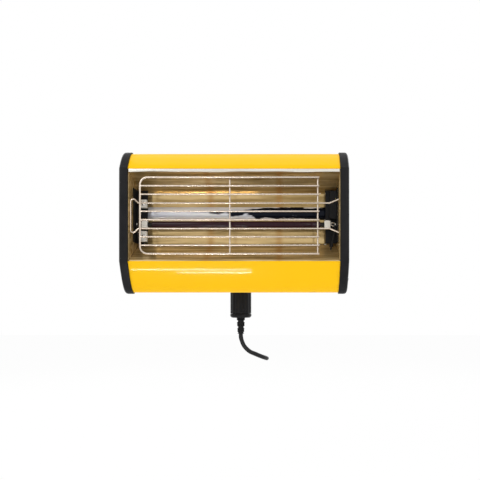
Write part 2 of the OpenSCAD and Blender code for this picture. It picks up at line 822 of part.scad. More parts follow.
// The tube leaves the upper slope square to it, bends over and runs straight down
leg = bracket_t + socket_h + over;
foot_y = ridge_y - bracket_s * sin(slope) + leg * cos(slope);
foot_z = bracket_s * cos(slope) + leg * sin(slope);
bend_r = (grip_y - foot_y) / (1 + sin(slope));
bend_z = foot_z - bend_r * cos(slope);
bend_angle = 90 + slope;
grip_low = grip_top - grip_len;
tube_low = grip_low + handle_d / 2;
collar_t = 2;
relief_top = grip_low - collar_t;
// Middle line of the tube from a height on its straight leg to a depth down its foot
bend_steps = 12;
tube_sides = 24;
function tube_line(low, down) = concat(
    [[0, grip_y, low]],
    [
        for (i = [0:bend_steps])
            let (a = i * bend_angle / bend_steps)
            [0, grip_y - bend_r + bend_r * cos(a), bend_z + bend_r * sin(a)]
    ],
    [[0, foot_y - down * cos(slope), foot_z - down * sin(slope)]]);
module handle_tube() {
    line = tube_line(tube_low, leg - bracket_t - socket_floor);
    color(black) in_lamp()
        piped(line, handle_d / 2, handle_d / 2 - handle_wall, tube_sides);
}
module handle_cable() {
    color("#151517") in_lamp()
        swept(tube_line(relief_top, leg + sheet), cord_d / 2, cord_sides);
}
disc_edge = 2.6;
module guard_disc() {
    r = disc_d / 2 - disc_edge;
    color(black) in_lamp() translate([0, grip_y, 0]) rotate_extrude() {
        translate([handle_d / 2 + bore_gap, -disc_z - disc_t])
            square([r - handle_d / 2, disc_t]);
        translate([r, -disc_z - disc_edge]) circle(r = disc_edge);
    }
}
flute_steps = 6;
function flute_line(r, deep) = [
    for (i = [0:flutes * flute_steps - 1])
        let (a = 360 * i / (flutes * flute_steps),
             w = r - deep * pow(abs(cos(flutes * a / 2)), flute_steps))
        [w * cos(a), w * sin(a)]
];
end_bore = relief_d0 / 2 + bore_gap;
module grip() {
    color(black) in_lamp() translate([0, grip_y, grip_low]) difference() {
        linear_extrude(grip_len) polygon(flute_line(grip_d / 2, flute_deep));
        translate([0, 0, tube_low - grip_low]) cylinder(h = grip_len, d = handle_d + 2 * bore_gap);
        translate([0, 0, -over]) cylinder(h = grip_len, r = end_bore);
    }
}
end_round = 3;
module grip_end() {
    r = grip_d / 2;
    h = grip_end_len;
    color(black) in_lamp() translate([0, grip_y, grip_low - h]) rotate_extrude() difference() {
        union() {
            square([r - end_round, h]);
            translate([0, end_round]) square([r, h - end_round]);
            translate([r - end_round, end_round]) circle(r = end_round);
        }
        translate([-over, -over]) square([end_bore + over, h + 2 * over]);
    }
}

// Tapered and ribbed sleeve: its collar sits in the grip's end cap
relief_low = grip_low - grip_end_len - relief_len;
rib_pitch = (relief_len - collar_t) / relief_ribs;
rib_share = 0.55;
rib_cut = 1.6;
function relief_r(z) = (relief_d0 + (relief_d1 - relief_d0) * z / relief_len) / 2;
function rib_points() = [
    for (i = [0:relief_ribs - 1])
        let (z = collar_t + i * rib_pitch)
        each [
            [relief_r(z), -z], [relief_r(z) - rib_cut, -z],
            [relief_r(z) - rib_cut, -z - rib_pitch * (1 - rib_share)],
            [relief_r(z), -z - rib_pitch * (1 - rib_share)]
        ]
];
module strain_relief() {
    top = grip_end_len - collar_t;
    color("#1b1b1e") in_lamp() translate([0, grip_y, grip_low - grip_end_len])
        rotate_extrude() polygon(concat(
            [[0, top], [relief_d0 / 2, top]], rib_points(),
            [[relief_d1 / 2, -relief_len], [0, -relief_len]]));
}

// Mains lead: down from the strain relief, a bend away from the lamp, up behind the
// grip and on to the coil that lies on the guard disc. Points are in the lamp's own
// frame: along the lamp, depth from the front edge, height from the middle line.
lead_points = [
    [0, 130, -169], [0, 130, -175], [2, 130, -182], [5, 131, -189], [10, 132, -195],
    [16, 134, -200], [24, 137, -203.5], [32, 142, -207.5], [39, 151, -211],
    [42, 163, -213.5], [41, 175, -214.5], [35, 186, -214], [25, 193, -211],
    [14, 196, -206.5], [5, 197, -200.5], [-1, 197, -192], [-4, 196.5, -182],
    [-5, 196, -171], [-5, 195, -158], [-5, 193.5, -143], [-5, 192, -127], [-5, 191, -110],
    [-5, 190.5, -93], [-5, 190.5, -77], [-6, 190.5, -63], [-7, 190.5, -51],
    [-8, 189.5, -42.5], [-10, 187, -35], [-13, 183.5, -29], [-17, 178.5, -24],
    [-21, 173, -21]
];
// Coil: turns spiral in and out again in layers, and climb a layer in the half turn
// where the spiral reverses
coil_start = 134;
coil_turns = 6.572;
coil_layers = 4;
ring_n = 24;
coil_sides = 6;
tie_t = 1;
coil_z = -disc_z + tie_t + fit_gap + cord_d / 2;
layer_turns = coil_turns / coil_layers;
climb_turns = 0.5;
function coil_radius(u) =
    let (k = floor(u / layer_turns), f = u / layer_turns - k)
    coil_r - coil_step * layer_turns * (k % 2 == 0 ? f : 1 - f);
function smooth(t) = t <= 0 ? 0 : t >= 1 ? 1 : t * t * (3 - 2 * t);
function coil_height(u) = coil_z + coil_step * (
    smooth((u - layer_turns) / climb_turns + mid_share)
    + smooth((u - 2 * layer_turns) / climb_turns + mid_share)
    + smooth((u - 3 * layer_turns) / climb_turns + mid_share));
function coil_point(u) =
    let (a = coil_start + 360 * u, r = coil_radius(u))
    [r * cos(a), grip_y + r * sin(a), coil_height(u)];
coil_count = floor(coil_turns * ring_n);
coil_body = [for (i = [0:coil_count]) coil_point(coil_turns * i / coil_count)];
function stretch(p, d) = concat(
    [p[0] + d * unit(p[0] - p[1])], p, [p[len(p) - 1] + d * unit(p[len(p) - 1] - p[len(p) - 2])]);
coil_points = stretch(coil_body, cord_d);
coil_gap = min([
    for (i = [0:coil_count], j = [i + floor(ring_n * mid_share):1:coil_count])
        norm(coil_body[i] - coil_body[j])
]) - cord_d;
echo(coil_gap = coil_gap);
function path_len(p) = len(p) < 2 ? 0
    : [for (i = 1, s = norm(p[1] - p[0]); i < len(p);
            i = i + 1, s = i < len(p) ? s + norm(p[i] - p[i - 1]) : s) s][len(p) - 2];
echo(cord_length = path_len(lead_points) + path_len(coil_points) + path_len(tail_line));
echo(coil_from = coil_points[0], coil_to = tail_line[0], tail_from = tail_line[1]);
cord_sides = 8;
module cord_lead() {
    color(black) in_lamp()
        swept(concat(lead_points, [coil_points[0]]), cord_d / 2, cord_sides);
}
module cord_coil() {
    color(black) in_lamp() swept(coil_points, cord_d / 2, coil_sides);
}
tail_points = [
    [46, 137, 4.5], [43.5, 146, 7.5], [38, 154, 10.5], [31, 160, 13], [25, 162, 14.1],
    [18, 162, 14.1]
];
coil_end = coil_points[len(coil_points) - 1];
tail_line = concat(
    [coil_end, coil_end + cord_d * unit(coil_end - coil_points[len(coil_points) - 2])],
    tail_points);
module cord_tail() {
    color(black) in_lamp() swept(tail_line, cord_d / 2, cord_sides);
}

// Strap round the coil
tie_angle = 240;
tie_w = 10;
module cord_tie() {
    in_r = coil_r - coil_step * layer_turns - cord_d / 2 - fit_gap;
    out_r = coil_r + cord_d / 2 + fit_gap;
    low = coil_z - cord_d / 2 - fit_gap;
    high = coil_z + (coil_layers - 1) * coil_step + cord_d / 2 + fit_gap;
    color(dark) in_lamp() translate([0, grip_y, 0]) rotate([0, 0, tie_angle]) difference() {
        block([in_r - tie_t, -tie_w / 2, low - tie_t], [out_r + tie_t, tie_w / 2, high + tie_t]);
        block([in_r, -tie_w / 2 - over, low], [out_r, tie_w / 2 + over, high]);
    }
}

// Plug: lies on the coil behind the handle tube
plug_boot = 12;
plug_y = 162;
plug_x = 6;
plug_z = coil_z + (coil_layers - 1) * coil_step + cord_d / 2 + fit_gap + plug_t / 2;
boot_wall = 1;
module plug_body() {
    flat = (plug_w - plug_t) / 2;
    color("#1b1b1e") in_lamp() translate([plug_x, plug_y, plug_z]) rotate([0, -90, 0]) {
        linear_extrude(plug_len) {
            translate([-plug_t / 2, -flat]) square([plug_t, 2 * flat]);
            for (y = [-flat, flat]) translate([0, y]) circle(d = plug_t);
        }
        translate([0, 0, -plug_boot])
            cylinder(h = plug_boot, r1 = cord_d / 2 + boot_wall, r2 = plug_t / 2 - boot_wall);
    }
}
module plug_pins() {
    color(silver) in_lamp() for (y = [-pin_gap / 2, pin_gap / 2])
        translate([plug_x - plug_len, plug_y + y, plug_z]) rotate([0, -90, 0])
            cylinder(h = pin_len, d = pin_d);
}

// Small fixings on the bottom lip and in the rails
rivet_in = 6;
rivet_x = inner_x - rivet_in;
rivet_r = 1.2;
module lip_rivets() {
    color(yellow) in_lamp() for (x = [-rivet_x, rivet_x]) rivet_at(x);
}
rivet_t = 0.12;
module rivet_at(x) {
    p = bend(lip_b, pull_b, edge_b, rivet_t);
    n = left_of(unit(along(lip_b, pull_b, edge_b, rivet_t)));
    translate([x, p[0], p[1]]) rotate([atan2(-n[1], -n[0]), 0, 0]) rotate([-90, 0, 0])
        dome(rivet_r, rivet_r / 2);
}
module rail_screws() {
    z0 = -cap_screw_z + rail_h / 2;
    color(silver) in_lamp() for (x = [timer_x - box_len / 2, timer_x + box_len / 2])
        translate([x + (x < timer_x ? -small_head_r : small_head_r), cap_screw_y, z0])
            dome(small_head_r, small_head_h);
}

top_panel();
bottom_panel();
rear_cover();
end_cap_left();
end_cap_right();
rail_top();
rail_bottom();
reflector_back();
reflector_top();
reflector_bottom();
reflector_end_left();
reflector_end_right();
reflector_bead();
lamp_tube();
lamp_filament();
lamp_ceramics();
lamp_clips();
lamp_terminals();
lamp_bracket_left();
lamp_bracket_right();
mica_blocks();
lamp_leads();
grille_frame();
grille_bars();
grille_long_bars();
grille_stays();
timer_plate();
timer_marks();
timer_knob();
timer_shaft();
timer_switch();
control_box();
terminal_block();
wiring();
handle_plate();
handle_socket();
handle_tube();
handle_cable();
guard_disc();
grip();
grip_end();
strain_relief();
cord_lead();
cord_coil();
cord_tail();
cord_tie();
plug_body();
plug_pins();
cap_screws();
bracket_screws();
socket_screws();
timer_screws();
lip_rivets();
rail_screws();
mica_screws();
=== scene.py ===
"""Looks of a hand-held infrared paint dryer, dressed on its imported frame.

Sizes are in millimetres in the lamp's own frame: X runs along the lamp, Y is the
depth behind the front edge and Z is the height above the lamp's middle line.
at() turns such a point into metres of the shared frame.
"""
import functools
import logging
import math
from dataclasses import dataclass, field
from enum import Enum
from typing import Sequence

import bmesh
import bpy
from mathutils import Matrix, Vector


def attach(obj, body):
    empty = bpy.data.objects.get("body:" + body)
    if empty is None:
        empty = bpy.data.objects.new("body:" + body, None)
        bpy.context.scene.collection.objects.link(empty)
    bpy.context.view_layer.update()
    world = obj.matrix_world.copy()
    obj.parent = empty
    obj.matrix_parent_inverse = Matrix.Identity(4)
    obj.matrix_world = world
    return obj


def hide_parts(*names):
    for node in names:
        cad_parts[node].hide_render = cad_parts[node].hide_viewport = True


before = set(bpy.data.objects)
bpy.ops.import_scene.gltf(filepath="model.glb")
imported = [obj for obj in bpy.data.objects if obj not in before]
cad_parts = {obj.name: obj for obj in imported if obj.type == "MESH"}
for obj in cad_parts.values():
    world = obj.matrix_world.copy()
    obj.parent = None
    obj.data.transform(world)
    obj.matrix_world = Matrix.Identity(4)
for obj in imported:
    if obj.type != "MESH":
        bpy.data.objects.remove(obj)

Colour = tuple[float, float, float]
Flat = tuple[float, float]
Spot = tuple[float, float, float]
Faces = list[tuple[int, ...]]
Shape = tuple[list[Vector], Faces]
Socket = bpy.types.NodeSocket
Tree = bpy.types.NodeTree
Mesh = bpy.types.Mesh
Piece = bpy.types.Object

log = logging.getLogger("dryer")
MM = 0.001
WELD = MM / 1000
SHARP = 34.0
ROUND_SHARP = 50.0
FLAT_ANGLE = 0.5
STEEP = 0.9
FIT = 0.05
GRIP_Y = 130.0
GRIP_MID = -82.5
BIG_HEAD: Flat = (3.8, 2.4)
SMALL_HEAD: Flat = (2.8, 1.8)
WHITE = (1, 1, 1, 1)
SIDES = (-1, 1)


def at(x: float, y: float, z: float) -> Vector:
    """Turns a point of the lamp's frame into metres of the shared frame.

    Args:
        x: Place along the lamp.
        y: Depth behind the front edge.
        z: Height above the middle line.

    Returns:
        The same point in metres, with the grip's middle as origin.
    """
    return Vector((x, y - GRIP_Y, z - GRIP_MID)) * MM


def along_x(y: float, z: float, x: float = 0.0) -> Matrix:
    """Returns the place of a turned part whose own Z runs along the lamp."""
    turn = Matrix(((0, 0, 1), (1, 0, 0), (0, 1, 0)))
    return Matrix.Translation(at(x, y, z)) @ (turn * MM).to_4x4()


def upright(x: float, y: float, z: float) -> Matrix:
    """Returns the place of a part that stands straight up from a point."""
    return Matrix.Translation(at(x, y, z)) @ Matrix.Scale(MM, 4)


class Texture(Enum):
    """Ways in which a finish's two colours lie on a piece."""

    MOTTLED = "mottled"
    STREAKED = "streaked"


class Grain(Enum):
    """Fine relief of a finish."""

    PEEL = "orange peel"
    MOULDED = "moulded"
    BRUSHED = "brushed"
    WOVEN = "woven"


class ShaderTree:
    """Node tree of a material or of a shared group, built in code."""

    prefix = "ShaderNode"

    def __init__(self, tree: Tree) -> None:
        """Keeps the tree that the nodes go into."""
        self.tree = tree

    def fill(self, made: bpy.types.Node, inputs: dict) -> None:
        """Gives a node its values, and links it to sockets."""
        for key, value in inputs.items():
            if isinstance(value, Socket):
                self.tree.links.new(value, made.inputs[key])
            else:
                made.inputs[key].default_value = value

    def node(self, kind: str, inputs: dict | None = None, **settings: object
             ) -> bpy.types.Node:
        """Adds a node.

        Args:
            kind: Blender's name of the node type; the tree's own prefix is left out.
            inputs: Values or sockets, by the name or number of the input.
            settings: Properties of the node.

        Returns:
            The new node.
        """
        made = self.tree.nodes.new(kind if "Node" in kind else self.prefix + kind)
        for key, value in settings.items():
            setattr(made, key, value)
        self.fill(made, inputs or {})
        return made

    def out(self, kind: str, inputs: dict | None = None, **settings: object) -> Socket:
        """Adds a node and returns its first output."""
        return self.node(kind, inputs, **settings).outputs[0]

    def math(self, operation: str, a: object, b: object = 0.0) -> Socket:
        """Adds a Math node and returns its result."""
        return self.out("ShaderNodeMath", {0: a, 1: b}, operation=operation)

    def xyz(self, x: object = 0.0, y: object = 0.0, z: object = 0.0) -> Socket:
        """Joins three numbers into a vector."""
        return self.out("ShaderNodeCombineXYZ", {0: x, 1: y, 2: z})

    def parts(self, vector: Socket) -> Sequence[Socket]:
        """Splits a vector into its three numbers."""
        return self.node("ShaderNodeSeparateXYZ", {0: vector}).outputs

    def ranged(self, value: Socket, low: float = 0.0, high: float = 1.0,
               start: float = 0.0, stop: float = 1.0, **settings: object) -> Socket:
        """Maps a value between start and stop to one between low and high."""
        return self.out("ShaderNodeMapRange", {
            "Value": value, "From Min": start, "From Max": stop, "To Min": low,
            "To Max": high}, **settings)

    def mixed(self, factor: object, a: object, b: object) -> Socket:
        """Mixes two colours by a factor and returns the result."""
        a, b = ((*c, 1.0) if isinstance(c, tuple) else c for c in (a, b))
        return self.node("Mix", {0: factor, 6: a, 7: b}, data_type="RGBA").outputs[2]

    def placed(self, tree: Tree, coords: Socket, **sizes: float) -> Socket:
        """Places a shared group and returns its result."""
        return self.out("Group", {"Vector": coords, **sizes}, node_tree=tree)


class SharedGroup(ShaderTree):
    """Shader group that takes coordinates and sizes and gives one value."""

    def __init__(self, name: str, *sizes: str) -> None:
        """Starts the group; sizes are the names of its number inputs."""
        super().__init__(bpy.data.node_groups.new(name, "ShaderNodeTree"))
        face = self.tree.interface
        face.new_socket("Vector", in_out="INPUT", socket_type="NodeSocketVector")
        for size in sizes:
            face.new_socket(size, in_out="INPUT", socket_type="NodeSocketFloat")
        face.new_socket("Result", in_out="OUTPUT", socket_type="NodeSocketFloat")
        self.given = self.node("NodeGroupInput").outputs

    def noise(self, scale: object, **more: float) -> Socket:
        """Adds noise over the coordinates that the group is given."""
        return self.out("TexNoise", {"Vector": self.given["Vector"], "Scale": scale, **more})

    def contrasted(self, noise: Socket) -> Socket:
        """Stretches a noise about its middle by the contrast that the group is given."""
        middle = 0.5
        centred = self.math("SUBTRACT", noise, middle)
        return self.out("Math", {0: centred, 1: self.given["Contrast"], 2: middle},
                        operation="MULTIPLY_ADD", use_clamp=True)

    def end(self, result: Socket) -> Tree:
        """Gives the result out and returns the finished tree."""
        self.node("NodeGroupOutput", {0: result})
        return self.tree


@functools.cache
def mottle_group() -> Tree:
    """Returns the group that spreads soft patches over a surface."""
    g = SharedGroup("soft patches", "Scale", "Contrast")
    return g.end(g.contrasted(g.noise(g.given["Scale"], Detail=4.0)))


@functools.cache
def streak_group() -> Tree:
    """Returns the group that draws long streaks along the lamp."""
    g = SharedGroup("long streaks", "Along", "Across", "Contrast")
    across = g.given["Across"]
    stretch = g.xyz(g.given["Along"], across, across)
    place = g.out("VectorMath", {0: g.given["Vector"], 1: stretch}, operation="MULTIPLY")
    noise = g.out("TexNoise", {"Vector": place, "Scale": 1.0, "Detail": 3.0})
    return g.end(g.contrasted(noise))


@functools.cache
def pebble_group() -> Tree:
    """Returns the group for the pebbled relief of paint and mouldings."""
    g = SharedGroup("pebbled relief", "Scale")
    cells = g.out("TexVoronoi", {"Vector": g.given["Vector"], "Scale": g.given["Scale"]},
                  feature="SMOOTH_F1")
    return g.end(g.math("MULTIPLY", cells, g.noise(g.given["Scale"])))


@functools.cache
def weave_group() -> Tree:
    """Returns the group for the relief of a plain weave."""
    g = SharedGroup("plain weave", "Scale")
    place = g.out("VectorMath", {0: g.given["Vector"], "Scale": g.given["Scale"]},
                  operation="SCALE")
    x, y, z = (g.math("SINE", part) for part in g.parts(place))
    return g.end(g.math("MULTIPLY", g.math("ADD", x, y), z))


@functools.cache
def scuff_group() -> Tree:
    """Returns the group for fine scuffs, a mask from 0 to 1."""
    patch_scale, edge, spread = 22.0, (0.62, 0.72), (0.45, 0.7)
    g = SharedGroup("fine scuffs", "Scale", "Amount")
    bent = g.noise(g.given["Scale"], Detail=6.0, Roughness=0.7, Distortion=1.6)
    lines = g.ranged(bent, start=edge[0], stop=edge[1])
    here = g.ranged(g.noise(patch_scale), start=spread[0], stop=spread[1])
    return g.end(g.math("MULTIPLY", g.math("MULTIPLY", lines, here), g.given["Amount"]))


@dataclass(frozen=True)
class Finish:
    """Finish of a surface: two colours that alternate, gloss, and a fine relief."""

    name: str
    slot: str
    colour: Colour
    shade: Colour
    rough: Flat
    texture: Texture = Texture.MOTTLED
    scale: float = 60.0
    stretch: float = 14.0
    contrast: float = 1.6
    metallic: float = 0.0
    specular: float = 0.16
    coat: float = 0.0
    coat_rough: float = 0.06
    grain: Grain = Grain.PEEL
    grain_scale: float = 900.0
    grain_stretch: float = 40.0
    grain_depth: float = 0.03
    scuffs: float = 0.0
    scuff_scale: float = 340.0
    scuff_colour: Colour = (0.3, 0.3, 0.3)

    def material(self) -> bpy.types.Material:
        """Returns the finish as a material, and makes it the first time."""
        made = bpy.data.materials.get(self.name)
        if made:
            return made
        made = bpy.data.materials.new(self.name)
        made.use_nodes = True
        t = ShaderTree(made.node_tree)
        coords = t.node("TexCoord").outputs["Object"]
        spread = self.spread(t, coords)
        colour = self.tint(t, coords, spread)
        if self.scuffs:
            mask = t.placed(scuff_group(), coords, Scale=self.scuff_scale, Amount=self.scuffs)
            colour = t.mixed(mask, colour, self.scuff_colour)
        relief = t.out("Bump", {"Height": self.relief(t, coords), "Strength": 1.0,
                                "Distance": self.grain_depth * MM})
        t.fill(made.node_tree.nodes["Principled BSDF"], {
            "Base Color": colour, "Roughness": t.ranged(spread, *self.rough),
            "Normal": relief, "Metallic": self.metallic, "Specular IOR Level": self.specular,
            "Coat Weight": self.coat, "Coat Roughness": self.coat_rough})
        return made

    def spread(self, t: ShaderTree, coords: Socket) -> Socket:
        """Returns the factor that moves between the two colours."""
        if self.texture is Texture.STREAKED:
            return t.placed(streak_group(), coords, Along=self.scale / self.stretch,
                            Across=self.scale, Contrast=self.contrast)
        return t.placed(mottle_group(), coords, Scale=self.scale, Contrast=self.contrast)

    def tint(self, t: ShaderTree, coords: Socket, spread: Socket) -> Socket:
        """Returns the colour over the surface."""
        return t.mixed(spread, self.colour, self.shade)

    def relief(self, t: ShaderTree, coords: Socket) -> Socket:
        """Returns the height of the fine relief."""
        if self.grain is Grain.BRUSHED:
            return t.placed(streak_group(), coords, Contrast=1.0, Across=self.grain_scale,
                            Along=self.grain_scale / self.grain_stretch)
        group = weave_group() if self.grain is Grain.WOVEN else pebble_group()
        return t.placed(group, coords, Scale=self.grain_scale)


@dataclass(frozen=True)
class PaintedReflection(Finish):
    """Polished strip with a painted reflection: a blue-black streak that widens along it,
    painted where the strip reflects a dark thing.
    """

    dark: Colour = (0.004, 0.006, 0.014)
    from_x: float = -112.0
    to_x: float = 60.0
    mid_z: float = 20.4
    widest: float = 10.5
    growth: float = 1.8
    wave: float = 9.0
    wave_along: float = 40.0
    wave_across: float = 200.0
    wave_contrast: float = 3.0
    soft: float = 2.2

    def tint(self, t: ShaderTree, coords: Socket, spread: Socket) -> Socket:
        """Returns the bright colour, run over by the painted dark reflection, a streak with a
        wavy edge.
        """
        x, _, z = t.parts(coords)
        grown = t.ranged(x, start=self.from_x * MM, stop=self.to_x * MM)
        reach = t.math("MULTIPLY", t.math("POWER", grown, self.growth), self.widest * MM)
        waves = t.placed(streak_group(), coords, Along=self.wave_along,
                         Across=self.wave_across, Contrast=self.wave_contrast)
        moved = t.math("MULTIPLY", t.math("SUBTRACT", waves, 0.5),
                       t.math("MULTIPLY", grown, self.wave * MM))
        away = t.math("ABSOLUTE", t.math("SUBTRACT", z, at(0, 0, self.mid_z).z))
        past = t.math("SUBTRACT", t.math("ADD", reach, moved), away)
        mask = t.ranged(past, stop=self.soft * MM, interpolation_type="SMOOTHSTEP")
        return t.mixed(mask, super().tint(t, coords, spread), self.dark)


@dataclass(frozen=True)
class TintedSheet(Finish):
    """Reflector sheet with faint darker orange bands at two places along its length."""

    band: Colour = (0.46, 0.23, 0.06)
    band_x: Flat = (-41.0, 64.0)
    band_w: float = 9.0
    band_share: float = 0.55

    def tint(self, t: ShaderTree, coords: Socket, spread: Socket) -> Socket:
        """Returns the sheet's colour with its bands."""
        place = t.parts(coords)[0]
        colour = super().tint(t, coords, spread)
        for x in self.band_x:
            away = t.math("ABSOLUTE", t.math("SUBTRACT", place, x * MM))
            mask = t.ranged(away, self.band_share, 0.0, stop=self.band_w * MM,
                            interpolation_type="SMOOTHSTEP")
            colour = t.mixed(mask, colour, self.band)
        return colour


YELLOW = Finish("yellow enamel", "yellow_paint", (1.0, 0.565, 0.0), (0.97, 0.54, 0.0),
                (0.3, 0.4), scale=9.0, specular=0.04, coat=0.22, coat_rough=0.04,
                grain_scale=420.0, grain_depth=0.02)
CAP = Finish("black cap moulding", "black_moulding", (0.008, 0.008, 0.009),
             (0.015, 0.015, 0.016), (0.34, 0.46), specular=0.1, grain=Grain.MOULDED,
             grain_scale=1500.0, grain_depth=0.03, scuffs=0.12)
COVER = Finish("charcoal powder coat", "dark_sheet", (0.045, 0.045, 0.05), (0.06, 0.06, 0.066),
               (0.36, 0.48), grain_scale=1100.0, grain_depth=0.05, scuffs=0.08)
STEEL_BLACK = Finish("black powder coat", "black_steel", (0.008, 0.008, 0.009),
                     (0.014, 0.014, 0.015), (0.24, 0.34), coat=0.15, grain_scale=1300.0,
                     grain_depth=0.025, scuffs=0.1)
STRUT = Finish("black strut coat", "black_steel", (0.006, 0.006, 0.007), (0.012, 0.012, 0.013),
               (0.4, 0.6), grain_scale=900.0, grain_depth=0.05)
GRIP = Finish("grip rubber", "grip_rubber", (0.006, 0.006, 0.007), (0.011, 0.011, 0.012),
              (0.3, 0.42), specular=0.12, grain=Grain.MOULDED, grain_scale=2200.0,
              grain_depth=0.02)
DISC = Finish("disc moulding", "black_moulding", (0.01, 0.01, 0.011), (0.018, 0.018, 0.019),
              (0.22, 0.34), grain=Grain.MOULDED, grain_scale=1800.0, grain_depth=0.015)
CORD = Finish("cord sheath", "cord_rubber", (0.008, 0.008, 0.009), (0.016, 0.016, 0.017),
              (0.36, 0.5), grain_scale=1600.0, grain_depth=0.03)
SLEEVE = Finish("lead sleeve", "lead_insulation", (0.01, 0.01, 0.011), (0.02, 0.02, 0.02),
                (0.35, 0.5), grain_scale=1600.0, grain_depth=0.02)
PLUG = Finish("plug moulding", "plug_plastic", (0.012, 0.012, 0.013), (0.02, 0.02, 0.021),
              (0.34, 0.48), grain=Grain.MOULDED, grain_scale=1500.0, grain_depth=0.03)
PIN = Finish("plated pins", "plug_brass", (0.78, 0.72, 0.6), (0.7, 0.66, 0.55), (0.16, 0.28),
             metallic=1.0, grain=Grain.BRUSHED, grain_scale=1500.0, grain_depth=0.01)
TIE = Finish("woven strap", "tie_fabric", (0.02, 0.02, 0.022), (0.035, 0.035, 0.038),
             (0.7, 0.85), grain=Grain.WOVEN, grain_scale=5200.0, grain_depth=0.12)
GOLD = TintedSheet("gold reflector sheet", "gold_reflector", (0.76, 0.56, 0.27),
                   (0.38, 0.26, 0.10), (0.08, 0.2), texture=Texture.STREAKED, scale=150.0,
                   contrast=3.6, metallic=0.5, grain=Grain.BRUSHED, grain_scale=260.0,
                   grain_depth=0.12)
# The lip's pale, nearly white colour, in place of the gold of the sheets, is a painted
# highlight: it stands in for the bright reflection along the lip.
LIP = Finish("reflector lip with painted highlight", "gold_reflector", (0.86, 0.84, 0.78), (0.6, 0.56, 0.46),
             (0.2, 0.35), texture=Texture.STREAKED, scale=120.0, contrast=2.6, metallic=0.85,
             grain=Grain.BRUSHED, grain_scale=500.0, grain_depth=0.04)
# Polished bead: its near-white and lavender colours are partly the strip's own polish and
# partly a painted reflection of the white surround. The blue-black streak is a painted
# reflection of a dark thing.
BEAD = PaintedReflection("polished bead", "bright_reflector", (0.98, 0.98, 1.0), (0.74, 0.77, 0.90),
                (0.06, 0.16), texture=Texture.STREAKED, scale=220.0, contrast=2.6, metallic=0.3,
                grain=Grain.BRUSHED, grain_scale=300.0, grain_depth=0.06)
QUARTZ = Finish("dark quartz", "quartz", (0.020, 0.004, 0.009), (0.036, 0.008, 0.016),
                (0.05, 0.1), specular=0.14, coat=0.16, coat_rough=0.03, grain_scale=200.0,
                grain_depth=0.01)
NECK = Finish("blackened tube neck", "quartz", (0.01, 0.009, 0.009), (0.02, 0.018, 0.016),
              (0.4, 0.6), grain_scale=900.0, grain_depth=0.02)
FILAMENT = Finish("wound filament", "tungsten", (0.3, 0.24, 0.18), (0.2, 0.16, 0.12),
                  (0.3, 0.4), metallic=1.0)
CERAMIC = Finish("white ceramic", "ceramic", (0.92, 0.91, 0.87), (0.82, 0.80, 0.74),
                 (0.3, 0.5), grain_scale=1200.0, grain_depth=0.04, scuffs=0.15,
                 scuff_colour=(0.45, 0.4, 0.3))
NICKEL = Finish("nickel wire", "nickel_wire", (0.68, 0.60, 0.52), (0.48, 0.40, 0.32),
                (0.2, 0.34), scale=90.0, metallic=1.0, grain=Grain.BRUSHED, grain_scale=1800.0,
                grain_depth=0.01)
SPRING = Finish("bright spring steel", "spring_steel", (0.74, 0.70, 0.64), (0.6, 0.57, 0.52),
                (0.16, 0.3), metallic=1.0, grain=Grain.BRUSHED, grain_scale=1500.0,
                grain_depth=0.01)
RAIL = Finish("plated rail", "rail_steel", (0.55, 0.56, 0.58), (0.45, 0.46, 0.48), (0.25, 0.4),
              texture=Texture.STREAKED, metallic=1.0, grain=Grain.BRUSHED)
ZINC = Finish("plated screws", "screw_steel", (0.80, 0.80, 0.80), (0.64, 0.64, 0.65),
              (0.18, 0.34), scale=400.0, metallic=1.0, grain_scale=2600.0, grain_depth=0.01)
DIAL = Finish("timer face", "timer_face", (0.012, 0.012, 0.013), (0.02, 0.02, 0.022),
              (0.3, 0.42), grain_scale=1400.0, grain_depth=0.03, scuffs=0.1)
PRINT = Finish("white print", "dial_marks", (0.80, 0.80, 0.80), (0.68, 0.68, 0.68), (0.4, 0.5),
               scale=500.0)
KNOB = Finish("knob moulding", "knob_plastic", (0.008, 0.008, 0.009), (0.014, 0.014, 0.015),
              (0.16, 0.26), coat=0.4, grain_scale=1500.0, grain_depth=0.012)
SWITCH = Finish("switch case", "switch_case", (0.12, 0.12, 0.13), (0.16, 0.16, 0.17),
                (0.4, 0.5))


def closed(mesh: Mesh, flat: float = 0.0) -> Mesh:
    """Merges a mesh's double points and turns its faces outwards.

    Args:
        mesh: The mesh, which is changed.
        flat: Angle in degrees under which neighbouring faces become one, or 0.

    Returns:
        The same mesh.
    """
    work = bmesh.new()
    work.from_mesh(mesh)
    bmesh.ops.remove_doubles(work, verts=work.verts, dist=WELD)
    if flat:
        bmesh.ops.dissolve_limit(work, angle_limit=math.radians(flat), verts=work.verts,
                                 edges=work.edges, delimit=set())
    bmesh.ops.recalc_face_normals(work, faces=work.faces)
    work.to_mesh(mesh)
    work.free()
    return mesh


def mesh_of(name: str, shape: Shape) -> Mesh:
    """Makes a closed mesh of points and faces."""
    mesh = bpy.data.meshes.new(name)
    mesh.from_pydata([tuple(v) for v in shape[0]], [], shape[1])
    return closed(mesh)


def linked(name: str, data: bpy.types.ID) -> Piece:
    """Makes an object and links it to the scene."""
    made = bpy.data.objects.new(name, data)
    bpy.context.scene.collection.objects.link(made)
    return made


def evaluated(piece: Piece) -> Mesh:
    """Returns what a piece's modifiers or its text come to, as a mesh of its own."""
    graph = bpy.context.evaluated_depsgraph_get()
    return bpy.data.meshes.new_from_object(piece.evaluated_get(graph))


def joined(*shapes: Shape) -> Shape:
    """Puts shapes together as one."""
    verts: list[Vector] = []
    faces: Faces = []
    for points, sides in shapes:
        faces += [tuple(i + len(verts) for i in side) for side in sides]
        verts += points
    return verts, faces


